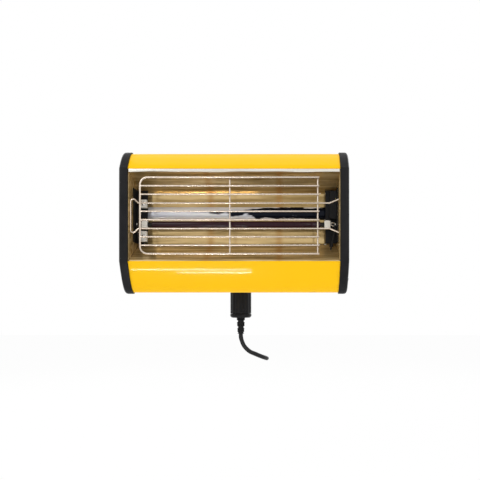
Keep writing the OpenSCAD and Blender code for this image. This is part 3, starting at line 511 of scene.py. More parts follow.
def loft(rings: Sequence[Sequence[Vector]], caps: bool = True, loop: bool = False) -> Shape:
    """Joins closed rings of equally many points.

    Args:
        rings: The rings, in order.
        caps: Whether the first and the last ring are closed.
        loop: Whether the last ring joins the first.

    Returns:
        Points and faces.
    """
    count = len(rings[0])
    verts = [p for ring in rings for p in ring]
    faces: Faces = []
    for i in range(len(rings) if loop else len(rings) - 1):
        a, b = i * count, ((i + 1) % len(rings)) * count
        faces += [(a + k, a + (k + 1) % count, b + (k + 1) % count, b + k)
                  for k in range(count)]
    if caps and not loop:
        last = (len(rings) - 1) * count
        faces += [tuple(range(count - 1, -1, -1)), tuple(range(last, last + count))]
    return verts, faces


def turned(profile: Sequence[Flat], place: Matrix, sides: int = 64, loop: bool = False
           ) -> Shape:
    """Turns an outline round an axis.

    Args:
        profile: Radius and height of the outline's points, in millimetres.
        place: Where the axis stands.
        sides: Faces round it.
        loop: Whether the outline is closed, as on a ring.

    Returns:
        Points and faces.
    """
    angles = [math.tau * k / sides for k in range(sides)]
    rings = [[place @ Vector((r * math.cos(w), r * math.sin(w), h)) for w in angles]
             for r, h in profile]
    return loft(rings, caps=False, loop=loop)


def filleted(points: Sequence[Flat], radius: float, steps: int = 5) -> list[Flat]:
    """Rounds the corners of a closed flat outline, in so many steps each."""
    done: list[Flat] = []
    for i, p in enumerate(points):
        corner = Vector(p)
        a, b = Vector(points[i - 1]) - corner, Vector(points[(i + 1) % len(points)]) - corner
        cut = min(radius / math.tan(a.angle(b) / 2), a.length / 2, b.length / 2)
        start, end = corner + a.normalized() * cut, corner + b.normalized() * cut
        for k in range(steps + 1):
            t = k / steps
            done.append(tuple(start * (1 - t) ** 2 + corner * 2 * t * (1 - t) + end * t * t))
    return done


def oblong(w: float, h: float, radius: float, steps: int = 6) -> list[Flat]:
    """Returns a rectangle with round corners, about its middle."""
    corners = [(w / 2, h / 2), (-w / 2, h / 2), (-w / 2, -h / 2), (w / 2, -h / 2)]
    return filleted(corners, radius, steps)


def plate(outline: Sequence[Flat], levels: Sequence[Flat], place: Matrix) -> Shape:
    """Raises a plate from an outline that is drawn in as it rises.

    Args:
        outline: Outline round the middle, in millimetres.
        levels: How far it is drawn in, and its height, from the bottom up.
        place: Where the plate's middle lies.

    Returns:
        Points and faces.
    """
    wide, high = (max(abs(p[i]) for p in outline) for i in range(2))
    return loft([[place @ Vector((x * (1 - inset / wide), y * (1 - inset / high), h))
                  for x, y in outline] for inset, h in levels])


def eased(top: float, edge: float) -> list[Flat]:
    """Returns the levels of a plate whose upper edge is eased."""
    soft = 0.3 * edge
    return [(0.0, 0.0), (0.0, top - edge), (soft, top - soft), (edge, top)]


def frames_along(points: Sequence[Vector]) -> list[tuple[Vector, Vector]]:
    """Returns two directions square to a path at each of its points, without twist."""
    made: list[tuple[Vector, Vector]] = []
    side = Vector((0, 0, 1))
    for i in range(len(points)):
        way = (points[min(i + 1, len(points) - 1)] - points[max(i - 1, 0)]).normalized()
        if not made and abs(way.z) > STEEP:
            side = Vector((1, 0, 0))
        side = (side - way * side.dot(way)).normalized()
        made.append((side, way.cross(side)))
    return made


def swept(points: Sequence[Vector], radius: float, sides: int = 20) -> Shape:
    """Runs a round bar through points in metres; its radius is in millimetres."""
    angles = [math.tau * k / sides for k in range(sides)]
    return loft([[p + (a * math.cos(w) + b * math.sin(w)) * radius * MM for w in angles]
                 for p, (a, b) in zip(points, frames_along(points))])


def flowing(points: Sequence[Vector], steps: int) -> list[Vector]:
    """Runs a smooth curve through points, with so many steps between two of them."""
    ends = [points[0] * 2 - points[1], *points, points[-1] * 2 - points[-2]]
    done: list[Vector] = []
    for i in range(1, len(ends) - 2):
        a, b, c, d = ends[i - 1:i + 3]
        for k in range(steps):
            t = k / steps
            done.append((b * 2 + (c - a) * t + (a * 2 - b * 5 + c * 4 - d) * t * t
                         + (b * 3 - a - c * 3 + d) * t ** 3) / 2)
    return [*done, points[-1]]


def cut(shape: Shape, cutter: Shape) -> Mesh:
    """Takes one shape out of another and returns what is left."""
    pair = [linked("cut", mesh_of("cut", part)) for part in (shape, cutter)]
    modifier = pair[0].modifiers.new("cut", "BOOLEAN")
    modifier.object = pair[1]
    modifier.solver = "EXACT"
    mesh = evaluated(pair[0])
    for piece in pair:
        bpy.data.objects.remove(piece)
    return mesh


def rounded_edges(piece: Piece, width: float) -> Piece:
    """Rounds a piece's sharp edges to a width in millimetres."""
    bevel = piece.modifiers.new("rounded edges", "BEVEL")
    bevel.width = width * MM
    bevel.segments = 2
    bevel.limit_method = "ANGLE"
    bevel.angle_limit = math.radians(SHARP)
    bevel.harden_normals = True
    return piece


def dress(node: str, finish: Finish) -> None:
    """Gives a CAD node its finish."""
    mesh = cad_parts[node].data
    mesh.materials.clear()
    mesh.materials.append(finish.material())
    log.info("%s keeps its CAD shape in %s", node, finish.name)


class Recipe(ShaderTree):
    """Geometry Nodes tree that is built in code, with named inputs for its sizes."""

    prefix = "GeometryNode"

    def __init__(self, name: str) -> None:
        """Starts a tree that takes a start mesh and gives geometry."""
        super().__init__(bpy.data.node_groups.new(name, "GeometryNodeTree"))
        for way in ("OUTPUT", "INPUT"):
            self.tree.interface.new_socket("Geometry", in_out=way,
                                           socket_type="NodeSocketGeometry")
        self.source = self.node("NodeGroupInput")
        self.start = self.source.outputs["Geometry"]

    def size(self, name: str, kind: str = "NodeSocketFloat") -> Socket:
        """Adds a named input and returns its socket."""
        self.tree.interface.new_socket(name, in_out="INPUT", socket_type=kind)
        return self.source.outputs[name]

    def round_wire(self, curve: Socket, radius: Socket, sides: int) -> Socket:
        """Gives a curve the thickness of a round wire."""
        ring = self.out("CurvePrimitiveCircle", {"Resolution": sides, "Radius": radius})
        return self.out("CurveToMesh", {"Curve": curve, "Profile Curve": ring,
                                        "Fill Caps": True})

    def box(self, x: object, y: object, z: object) -> Socket:
        """Makes a box of a size."""
        return self.out("MeshCube", {"Size": self.xyz(x, y, z)})

    def moved(self, shape: Socket, **how: object) -> Socket:
        """Moves, turns or scales geometry."""
        return self.out("Transform", {"Geometry": shape, **how})

    def join(self, *shapes: Socket) -> Socket:
        """Joins geometry."""
        node = self.node("JoinGeometry")
        for shape in shapes:
            self.tree.links.new(shape, node.inputs[0])
        return node.outputs[0]

    def on_points(self, points: Socket, shape: Socket, **how: object) -> Socket:
        """Sets a shape on each point."""
        return self.out("InstanceOnPoints", {"Points": points, "Instance": shape, **how})

    def facing(self) -> Socket:
        """Returns which way each point of the start mesh faces."""
        return self.out("InputNamedAttribute", {"Name": "facing"}, data_type="FLOAT_VECTOR")

    def end(self, geometry: Socket) -> None:
        """Ends the tree with Realize Instances and Set Material."""
        paint = self.size("Finish", "NodeSocketMaterial")
        real = self.out("RealizeInstances", {"Geometry": geometry})
        done = self.out("SetMaterial", {"Geometry": real, "Material": paint})
        self.node("NodeGroupOutput", {"Geometry": done})


@functools.cache
def wire_recipe() -> Recipe:
    """Returns the recipe that bends wires along chains of edges."""
    bend_steps, sides = 7, 16
    r = Recipe("bent wires")
    curve = r.out("MeshToCurve", {"Mesh": r.start})
    bent = r.out("FilletCurve", {"Curve": curve, "Count": bend_steps, "Limit Radius": True,
                                 "Radius": r.size("Bend radius")}, mode="POLY")
    r.end(r.round_wire(bent, r.size("Wire radius"), sides))
    return r


@functools.cache
def screw_recipe() -> Recipe:
    """Returns the recipe that sets domed screw heads with a cross recess on points."""
    segments, rings, seed = 32, 20, 7
    foot, long, wide, deep = -0.15, 1.1, 0.24, 1.1
    r = Recipe("cross-head screws")
    radius, height = r.size("Head radius"), r.size("Head height")
    ball = r.out("MeshUVSphere", {"Segments": segments, "Rings": rings, "Radius": 1.0})
    dome = r.moved(ball, Scale=r.xyz(radius, radius, height))
    x, y, z = r.parts(r.out("InputPosition"))
    level = r.math("MAXIMUM", z, r.math("MULTIPLY", height, foot))
    seated = r.out("SetPosition", {"Geometry": dome, "Position": r.xyz(x, y, level)})
    length, width = (r.math("MULTIPLY", radius, share) for share in (long, wide))
    depth, top = r.math("MULTIPLY", height, deep), r.xyz(z=height)
    arms = [r.moved(r.box(*size, depth), Translation=top)
            for size in ((length, width), (width, length))]
    recess = r.out("MeshBoolean", {"Mesh 1": seated, "Mesh 2": r.join(*arms)},
                   operation="DIFFERENCE")
    aim = r.out("FunctionNodeAlignRotationToVector", {"Vector": r.facing()}, axis="Z")
    spin = r.node("FunctionNodeRandomValue", {"Seed": seed, 3: math.tau}, data_type="FLOAT")
    twist = r.out("FunctionNodeAxisAngleToRotation", {"Angle": spin.outputs[1]})
    turn = r.out("FunctionNodeRotateRotation", {0: aim, 1: twist}, rotation_space="LOCAL")
    r.end(r.on_points(r.start, recess, Rotation=turn))
    return r


@functools.cache
def bead_recipe() -> Recipe:
    """Returns the recipe that sets small round beads on points."""
    fineness = 3
    r = Recipe("beads")
    bead = r.out("MeshIcoSphere", {"Radius": r.size("Bead radius"),
                                   "Subdivisions": fineness})
    r.end(r.on_points(r.start, bead))
    return r


def edge_mesh(name: str, paths: Sequence[Sequence[Vector]]) -> Mesh:
    """Returns a mesh of bare edges, one chain for each path."""
    verts: list[tuple] = []
    edges: list[tuple[int, int]] = []
    for path in paths:
        edges += [(len(verts) + i, len(verts) + i + 1) for i in range(len(path) - 1)]
        verts += [tuple(p) for p in path]
    mesh = bpy.data.meshes.new(name)
    mesh.from_pydata(verts, edges, [])
    return mesh


def point_mesh(name: str, places: Sequence[Matrix]) -> Mesh:
    """Returns a mesh of bare points that keep which way each one faces."""
    mesh = bpy.data.meshes.new(name)
    mesh.from_pydata([tuple(p.translation) for p in places], [], [])
    facing = mesh.attributes.new("facing", "FLOAT_VECTOR", "POINT")
    for item, p in zip(facing.data, places):
        item.vector = p.to_3x3().col[2].normalized()
    return mesh


@dataclass(frozen=True)
class Part:
    """One piece: its name, its finish, the CAD nodes that it replaces and its body."""

    name: str
    finish: Finish
    nodes: tuple[str, ...] = ()
    body: str = "lamp"

    def fit(self, piece: Piece, sharp: float = SHARP) -> Piece:
        """Smooths a piece and puts it on its body.

        Args:
            piece: The piece.
            sharp: Angle in degrees past which an edge stays sharp.

        Returns:
            The same piece.
        """
        piece.data.name = self.name
        piece.data.shade_smooth()
        piece.data.set_sharp_from_angle(angle=math.radians(sharp))
        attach(piece, self.body)
        if self.nodes:
            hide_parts(*self.nodes)
        log.info("%s rides on %s in %s", piece.name, self.body, self.finish.name)
        return piece

    def painted(self, mesh: Mesh, sharp: float = SHARP) -> Piece:
        """Makes the piece from a mesh in the frame's metres."""
        mesh.materials.clear()
        mesh.materials.append(self.finish.material())
        return self.fit(linked(self.name, mesh), sharp)

    def solid(self, shape: Shape, sharp: float = SHARP) -> Piece:
        """Makes the piece from points and faces."""
        return self.painted(mesh_of(self.name, shape), sharp)

    def softened(self, width: float) -> Piece:
        """Makes the piece from its CAD node, with edges rounded to a width."""
        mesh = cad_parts[self.nodes[0]].data.copy()
        return rounded_edges(self.painted(closed(mesh, FLAT_ANGLE)), width)

    def grown(self, recipe: Recipe, start: Mesh, sharp: float = 40.0, **sizes: object
              ) -> Piece:
        """Makes the piece with Geometry Nodes, as a plain mesh with no modifier.

        Args:
            recipe: Tree that grows it.
            start: Mesh that the tree starts from.
            sharp: Angle in degrees past which an edge stays sharp.
            sizes: Values of the tree's named inputs, in metres.

        Returns:
            The piece.
        """
        piece = linked(self.name, start)
        modifier = piece.modifiers.new(recipe.tree.name, "NODES")
        modifier.node_group = recipe.tree
        sockets = {s.name: s.identifier for s in recipe.tree.interface.items_tree
                   if s.in_out == "INPUT"}
        for key, value in {**sizes, "Finish": self.finish.material()}.items():
            modifier[sockets[key.replace("_", " ")]] = value
        mesh = evaluated(piece)
        piece.modifiers.clear()
        piece.data = mesh
        return self.fit(piece, sharp)

    def wires(self, paths: Sequence[Sequence[Vector]], radius: float, bend: float = 1.0
              ) -> Piece:
        """Bends the piece from wires; radius and bend are in millimetres."""
        return self.grown(wire_recipe(), edge_mesh(self.name, paths),
                          Wire_radius=radius * MM, Bend_radius=bend * MM)

    def screws(self, places: Sequence[Matrix], head: Flat) -> Piece:
        """Makes a set of screw heads of a radius and a height in millimetres."""
        return self.grown(screw_recipe(), point_mesh(self.name, places),
                          Head_radius=head[0] * MM, Head_height=head[1] * MM)

    def beads(self, points: Sequence[Vector], radius: float) -> Piece:
        """Sets round beads of a radius in millimetres on points."""
        start = point_mesh(self.name, [Matrix.Translation(p) for p in points])
        return self.grown(bead_recipe(), start, Bead_radius=radius * MM)


@dataclass
class Studio:
    """White studio: camera at the photograph's place, soft lamps and a pale floor."""

    eye: Vector = field(default_factory=lambda: at(69.4, -797.6, -113.3))
    lens: float = 41.87
    shift: Flat = (-0.0888, 0.125)
    near: float = 0.01
    floor_z: float = -0.34
    floor_half: float = 4.0
    floor_white: float = 0.95
    fill: float = 0.6
    soft_lamps: tuple = (
        ("key", (-0.9, -1.1, 0.9), 0.9, 7.0),
        ("front", (0.9, -1.2, 0.3), 0.9, 4.0),
        ("back left", (-0.9, 1.0, 0.7), 0.9, 4.5),
        ("back right", (1.0, 1.0, 0.8), 0.9, 4.5),
        ("top", (0.0, 0.0, 1.5), 1.0, 5.0),
    )
    soft_aim: Spot = (0, 0, 0.05)
    strips: tuple = (("long streak", (-112, -189, -299), 235),
                     ("short streak", (-70, -196, -340), 150))
    strip_aim: Flat = (5, -70)
    strip_w: float = 9.0
    strip_power: float = 0.26

    def build(self) -> None:
        """Makes the camera, the world, the floor and the lamps."""
        self.camera()
        self.world()
        self.floor()
        self.lamps()
        bpy.context.scene.view_settings.view_transform = "Standard"

    def camera(self) -> None:
        """Sets the camera where the photograph was taken from."""
        data = bpy.data.cameras.new("camera")
        data.lens = self.lens
        data.shift_x, data.shift_y = self.shift
        data.clip_start = self.near
        camera = linked("camera", data)
        camera.location = self.eye
        camera.rotation_euler = (math.pi / 2, 0, 0)
        bpy.context.scene.camera = camera

    @staticmethod
    def seen_white(t: ShaderTree) -> Socket:
        """Returns 1 for camera, glossy and transmission rays, and 0 for others."""
        path = t.node("LightPath").outputs
        either = t.math("MAXIMUM", path["Is Camera Ray"], path["Is Glossy Ray"])
        return t.math("MAXIMUM", either, path["Is Transmission Ray"])

    def world(self) -> None:
        """Lights the object evenly from a white surround."""
        world = bpy.data.worlds.new("white surround")
        world.use_nodes = True
        bpy.context.scene.world = world
        world.node_tree.nodes.clear()
        t = ShaderTree(world.node_tree)
        dim, bright = (t.out("Background", {"Color": WHITE, "Strength": power})
                       for power in (self.fill, 1.0))
        mix = t.out("MixShader", {0: self.seen_white(t), 1: dim, 2: bright})
        t.node("OutputWorld", {"Surface": mix})

    def floor(self) -> None:
        """Lays a pale floor that keeps a faint shadow."""
        paint = bpy.data.materials.new("pale floor")
        paint.use_nodes = True
        paint.node_tree.nodes.clear()
        t = ShaderTree(paint.node_tree)
        matt = t.out("BsdfDiffuse", {"Color": WHITE})
        white = t.out("Emission", {"Color": WHITE, "Strength": 1.0})
        share = t.math("MULTIPLY", self.seen_white(t), self.floor_white)
        t.node("OutputMaterial", {"Surface": t.out("MixShader", {0: share, 1: matt,
                                                                 2: white})})
        mesh = bpy.data.meshes.new("floor")
        half = self.floor_half
        corners = [(-half, -half), (half, -half), (half, half), (-half, half)]
        mesh.from_pydata([(x, y, self.floor_z) for x, y in corners], [], [(0, 1, 2, 3)])
        mesh.materials.append(paint)
        linked("floor", mesh)

    def lamps(self) -> None:
        """Hangs the soft lamps round the object, and two strips for the gloss."""
        for name, place, size, power in self.soft_lamps:
            self.lamp(name, Vector(place), Vector(self.soft_aim), (size, size), power)
        for name, place, length in self.strips:
            strip = self.lamp(name, at(*place), at(place[0], *self.strip_aim),
                              (length * MM, self.strip_w * MM), self.strip_power)
            strip.visible_diffuse = False

    @staticmethod
    def lamp(name: str, place: Vector, aim: Vector, size: Flat, power: float) -> Piece:
        """Hangs one area lamp that the camera doesn't see.

        Args:
            name: Name of the lamp.
            place: Where it hangs.
            aim: Where it points.
            size: Its width and height in metres.
            power: Its power in watts.

        Returns:
            The lamp.
        """
        data = bpy.data.lights.new(name, "AREA")
        data.shape = "RECTANGLE"
        data.size, data.size_y = size
        data.energy = power
        lamp = linked(name, data)
        lamp.location = place
        lamp.rotation_euler = (aim - place).to_track_quat("-Z", "Y").to_euler()
        lamp.visible_camera = False
        return lamp


@dataclass
class Shell:
    """Sizes of the lamp head that its pieces share."""

    head_len: float = 330.0
    cap_w: float = 13.0
    sheet: float = 1.5
    lip_top: float = 75.0
    lip_bottom: float = 58.0
    shoulder_y: float = 54.0
    shoulder_z: float = 78.0
    ridge_y: float = 80.0
    reflector_t: float = 1.0

    @property
    def inner_x(self) -> float:
        """Half of the length between the end caps."""
        return self.head_len / 2 - self.cap_w

    @property
    def end_x(self) -> float:
        """Half of the length between the reflector's end plates."""
        return self.inner_x - self.reflector_t

    @property
    def slope(self) -> float:
        """Lean of the rear cover's two faces, in radians."""
        return math.atan2(self.ridge_y - self.shoulder_y, self.shoulder_z)

    def on_cover(self, x: float, s: float, upper: bool) -> Matrix:
        """Returns a work plane on the rear cover, whose Z points away from it.

        Args:
            x: Place along the lamp.
            s: Distance from the ridge.
            upper: Whether the plane lies on the upper face.

        Returns:
            The plane's place; its X runs against the lamp's.
        """
        side = 1 if upper else -1
        lean, rise = math.sin(self.slope), math.cos(self.slope)
        axes = Matrix(((-1, 0, 0), (0, -side * lean, rise), (0, rise, side * lean)))
        place = at(x, self.ridge_y - s * lean, side * s * rise)
        return Matrix.Translation(place) @ (axes.transposed() * MM).to_4x4()


@dataclass
class Housing(Shell):
    """Yellow panels, end caps, rear cover and their screws."""

    top_pull: Flat = (28.0, 128.0)
    bottom_pull: Flat = (34.0, -135.0)
    steps: int = 42
    spans: int = 8
    panel_edge: float = 0.3
    cover_edge: float = 0.35
    proud: float = 2.0
    chamfer: float = 0.4
    rim: float = 9.0
    wall: float = 3.5
    corner: float = 5.0
    cap_edge: float = 0.7
    cap_sharp: float = 28.0
    screw_y: float = 28.0
    screw_z: float = 82.0
    deep_y: float = 66.0
    deep_r: float = 5.0
    deep: float = 2.0
    dimple_step: int = 5
    dimple_inset: float = 6.0
    dimple_r: float = 0.6

    def build(self) -> None:
        """Makes every piece of the housing."""
        for node, bottom in (("top_panel", False), ("bottom_panel", True)):
            self.panel(node, bottom)
        for node, side in (("end_cap_left", -1), ("end_cap_right", 1)):
            self.cap(node, side)
        Part("rear_cover_sheet", COVER, ("rear_cover",)).softened(self.cover_edge)
        self.cap_screws()
        for node, finish in (("rail_top", RAIL), ("rail_bottom", RAIL), ("rail_screws", ZINC),
                             ("control_box", CAP), ("terminal_block", CERAMIC),
                             ("wiring", SLEEVE)):
            dress(node, finish)
        self.dimples()

    def curve(self, bottom: bool, out: float) -> list[Flat]:
        """Returns a panel's side outline, moved outwards by so much."""
        side = -1 if bottom else 1
        a = Vector((0, -self.lip_bottom if bottom else self.lip_top))
        v = Vector(self.bottom_pull if bottom else self.top_pull)
        b = Vector((self.shoulder_y, side * self.shoulder_z))
        done: list[Flat] = []
        for i in range(self.steps + 1):
            t = i / self.steps
            p = a * (1 - t) ** 2 + v * 2 * t * (1 - t) + b * t * t
            way = ((v - a) * (1 - t) + (b - v) * t).normalized()
            done.append((p.x - side * out * way.y, p.y + side * out * way.x))
        return done

    def outline(self, out: float) -> list[Flat]:
        """Returns the head's side outline, moved outwards by so much."""
        low, high = self.curve(True, out), self.curve(False, out)
        low[0], high[0] = (-out, low[0][1]), (-out, high[0][1])
        ridge = (self.ridge_y + out / math.cos(self.slope), 0.0)
        return [*low, ridge, *reversed(high)]

    def panel(self, node: str, bottom: bool) -> None:
        """Makes a curved panel between the end caps."""
        line = [*self.curve(bottom, 0.0), *reversed(self.curve(bottom, -self.sheet))]
        rings = [[at(self.inner_x * (2 * i / self.spans - 1), y, z) for y, z in line]
                 for i in range(self.spans + 1)]
        piece = Part(f"{node}_sheet", YELLOW, (node,)).solid(loft(rings))
        rounded_edges(piece, self.panel_edge)

    def cap(self, node: str, side: int) -> None:
        """Makes an end cap with a rounded outer edge, a hollow inside and a screw well."""
        x0, x1 = self.inner_x, self.head_len / 2
        inside = self.proud - self.rim
        levels = [(x1 - self.wall, inside), (x0, inside), (x0, self.proud - self.chamfer),
                  (x0 + self.chamfer, self.proud)]
        for i in range(self.spans + 1):
            w = math.pi / 2 * i / self.spans
            levels.append((x1 - self.corner * (1 - math.sin(w)),
                           self.proud - self.corner * (1 - math.cos(w))))
        rings = [[at(side * x, y, z) for y, z in self.outline(out)] for x, out in levels]
        well = [(0, -self.deep), (self.deep_r, -self.deep), (self.deep_r, self.deep),
                (0, self.deep)]
        mesh = cut(loft(rings), turned(well, along_x(self.deep_y, 0, side * x1)))
        piece = Part(f"{node}_moulding", CAP, (node,)).painted(mesh, self.cap_sharp)
        rounded_edges(piece, self.cap_edge)

    def cap_screws(self) -> None:
        """Sets the screws into both end caps."""
        face = self.head_len / 2
        spots = ((face, self.screw_y, self.screw_z), (face, self.screw_y, -self.screw_z),
                 (face - self.deep, self.deep_y, 0))
        places = [Matrix.Translation(at(side * x, y, z))
                  @ Matrix.Rotation(side * math.pi / 2, 4, "Y")
                  for side in SIDES for x, y, z in spots]
        Part("cap_screw_heads", ZINC, ("cap_screws",)).screws(places, BIG_HEAD)

    def dimples(self) -> None:
        """Makes the small dimples near the ends of the lower panel."""
        y, z = self.curve(True, 0.0)[self.dimple_step]
        x = self.inner_x - self.dimple_inset
        points = [at(side * x, y, z) for side in SIDES]
        Part("lip_dimples", YELLOW, ("lip_rivets",)).beads(points, self.dimple_r)


@dataclass
class Reflector(Shell):
    """Gold sheets behind the lamp, the front lip with its painted highlight and the polished
    bead with its painted reflection.
    """

    sheet_edge: float = 0.25
    bead_half: float = 140.0
    bead_h: float = 19.5
    bead_z: float = 19.4
    bead_out: float = 4.5
    bead_edge: float = 0.6
    bead_steps: int = 24
    bead_spans: int = 20
    back_y: float = 60.0
    lip_y: float = 0.5
    lip_z: float = 70.3
    lip_in: float = 3.2
    lip_t: float = 0.8
    lip_under: float = 0.6
    lip_r: float = 0.3
    lip_spans: int = 60
    ripples: tuple[Spot, ...] = ((0.35, 23.0, 0.0), (0.25, 9.7, 1.0))
    fold_y: float = 2.0
    fold_t: float = 0.7
    fold_up: float = 2.2
    fold_down: float = 0.5

    def build(self) -> None:
        """Makes every piece of the reflector."""
        for place in ("back", "bottom", "end_left", "end_right", "top"):
            node = f"reflector_{place}"
            Part(f"{node}_sheet", GOLD, (node,)).softened(self.sheet_edge)
        self.lip()
        self.fold()
        self.bead()

    def lip(self) -> None:
        """Makes the lip that is folded down along the top of the opening, in a pale colour that
        paints its highlight.
        """
        top, low = self.lip_top - self.lip_under, self.lip_z
        y, t = self.lip_y, self.lip_t
        section = filleted([(y, top), (y, low), (self.lip_in, low), (self.lip_in, low + t),
                            (y + t, low + t), (y + t, top)], self.lip_r, steps=3)
        rings = []
        for i in range(self.lip_spans + 1):
            x = self.end_x * (2 * i / self.lip_spans - 1)
            wave = sum(high * math.sin(x / long + start) for high, long, start in self.ripples)
            rings.append([at(x, y, z + wave * (top - z) / (top - low)) for y, z in section])
        Part("reflector_lip", LIP).solid(loft(rings))

    def fold(self) -> None:
        """Makes the small fold that closes the lower sheet against the panel."""
        y, t = self.fold_y, self.fold_t
        top, low = self.fold_up - self.lip_bottom, -self.lip_bottom - self.fold_down
        section = [(y, low), (y + t, low), (y + t, top), (y, top)]
        rings = [[at(side * self.end_x, *p) for p in section] for side in SIDES]
        Part("reflector_fold", GOLD).solid(loft(rings))

    def bead(self) -> None:
        """Makes the rounded polished strip on the back plate."""
        ball = (self.bead_h ** 2 / 4 + self.bead_out ** 2) / (2 * self.bead_out)
        reach = math.asin(self.bead_h / 2 / ball)
        section = []
        for i in range(self.bead_steps + 1):
            w = reach * (2 * i / self.bead_steps - 1)
            section.append((self.back_y - self.bead_out + ball - ball * math.cos(w),
                            self.bead_z + ball * math.sin(w)))
        section += [(self.back_y, self.bead_z + side * self.bead_h / 2) for side in (1, -1)]
        half, edge = self.bead_half, self.bead_edge
        xs = [half * (2 * i / self.bead_spans - 1) for i in range(1, self.bead_spans)]
        rings = []
        for x in (-half, edge - half, *xs, half - edge, half):
            drawn = edge if abs(x) == half else 0.0
            rings.append([at(x, min(y + drawn, self.back_y),
                             z - drawn * (1 if z > self.bead_z else -1)) for y, z in section])
        Part("polished_bead", BEAD, ("reflector_bead",)).solid(loft(rings))


@dataclass
class InfraredLamp(Shell):
    """Quartz tube with its necks, filament, ceramic ends, clips, leads and brackets."""

    tube_d: float = 10.0
    tube_half: float = 131.5
    tube_y: float = 35.0
    tube_z: float = -1.0
    tube_end: tuple[Flat, ...] = ((1.6, 0.0), (0.5, 0.5), (0.0, 2.0))
    neck_len: float = 6.0
    neck_r: float = 3.6
    neck_in: float = 0.5
    neck_out: float = 1.0
    turns: int = 150
    filament_r: float = 0.9
    filament_wire: float = 0.18
    filament_in: float = 2.0
    ceramic_len: float = 9.0
    loop_in: float = 1.0
    loop_wire: float = 0.75
    loop_bend: float = 1.6
    loop_lean: float = 0.6
    loop: tuple[Flat, ...] = ((0, 1.2), (3.5, 2.6), (8.4, 2.4), (8.6, -1.4), (4.6, -2.2),
                              (2.6, -0.6), (0, -0.8))
    lead_out: float = 5.0
    lead_y: float = -4.4
    lead_r: float = 1.2
    lead_bend: float = 6.0
    lead: tuple[Spot, ...] = ((0, 2, 0), (2.2, -0.6, -6), (-1.8, -0.6, -24), (-5, -0.6, -38))
    block_screws: tuple[Spot, ...] = ((-138.75, 38, 31), (-138.75, 38, -18))

    def build(self) -> None:
        """Makes every piece of the lamp and of what carries it."""
        self.tube()
        self.necks()
        self.filament()
        for node, name, finish, width in (
            ("lamp_ceramics", "ceramic_ends", CERAMIC, 0.9),
            ("mica_blocks", "mica_block_bodies", CERAMIC, 0.5),
            ("lamp_clips", "spring_clips", SPRING, 0.2),
            ("lamp_bracket_left", "lamp_strut_left", STRUT, 0.4),
            ("lamp_bracket_right", "lamp_strut_right", STRUT, 0.4),
        ):
            Part(name, finish, (node,)).softened(width)
        self.terminals()
        self.leads()
        places = [Matrix.Translation(at(*spot)) @ Matrix.Rotation(math.pi / 2, 4, "X")
                  for spot in self.block_screws]
        Part("mica_screw_heads", ZINC, ("mica_screws",)).screws(places, SMALL_HEAD)

    def tube(self) -> None:
        """Makes the quartz tube between its necks."""
        r, x = self.tube_d / 2, self.tube_half - self.neck_len
        end = [(r - inset, x - back) for inset, back in self.tube_end]
        profile = [(0, -x), *((a, -b) for a, b in end), *reversed(end), (0, x)]
        shape = turned(profile, along_x(self.tube_y, self.tube_z), 48)
        Part("quartz_tube", QUARTZ, ("lamp_tube",)).solid(shape)

    def necks(self) -> None:
        """Makes the two blackened necks that run into the ceramic ends."""
        ends = self.tube_half - self.neck_len - self.neck_in, self.tube_half + self.neck_out
        Part("tube_necks", NECK).wires(
            [[at(side * x, self.tube_y, self.tube_z) for x in ends] for side in SIDES],
            self.neck_r)

    def filament(self) -> None:
        """Winds the filament as one helix along the tube."""
        steps, sides = 10, 5
        half = self.tube_half - self.neck_len - self.filament_in
        r = Recipe("wound helix")
        coil = r.size("Coil radius")
        spiral = r.out("CurveSpiral", {
            "Resolution": steps, "Rotations": float(self.turns), "Start Radius": coil,
            "End Radius": coil, "Height": r.size("Length")})
        wire = r.round_wire(spiral, r.size("Wire radius"), sides)
        r.end(r.moved(wire, Rotation=(0, math.pi / 2, 0),
                      Translation=at(-half, self.tube_y, self.tube_z)))
        Part("filament_helix", FILAMENT, ("lamp_filament",)).grown(
            r, bpy.data.meshes.new("helix"), Coil_radius=self.filament_r * MM,
            Wire_radius=self.filament_wire * MM, Length=2 * half * MM)

    def terminals(self) -> None:
        """Bends the wire loops that stick out of the ceramic ends."""
        x = self.tube_half + self.ceramic_len - self.loop_in
        paths = [[at(side * (x + a), self.tube_y - self.loop_lean * (i % 2), self.tube_z + b)
                  for i, (a, b) in enumerate(self.loop)] for side in SIDES]
        Part("terminal_loops", SPRING, ("lamp_terminals",)).wires(paths, self.loop_wire,
                                                                  self.loop_bend)

    def leads(self) -> None:
        """Runs the sleeved leads from the terminals down towards the lower lip."""
        x = self.tube_half + self.ceramic_len + self.lead_out
        y = self.tube_y + self.lead_y
        paths = [[at(side * (x + a), y + b, self.tube_z + c) for a, b, c in self.lead]
                 for side in SIDES]
        Part("lamp_lead_sleeves", SLEEVE, ("lamp_leads",)).wires(paths, self.lead_r,
                                                                 self.lead_bend)


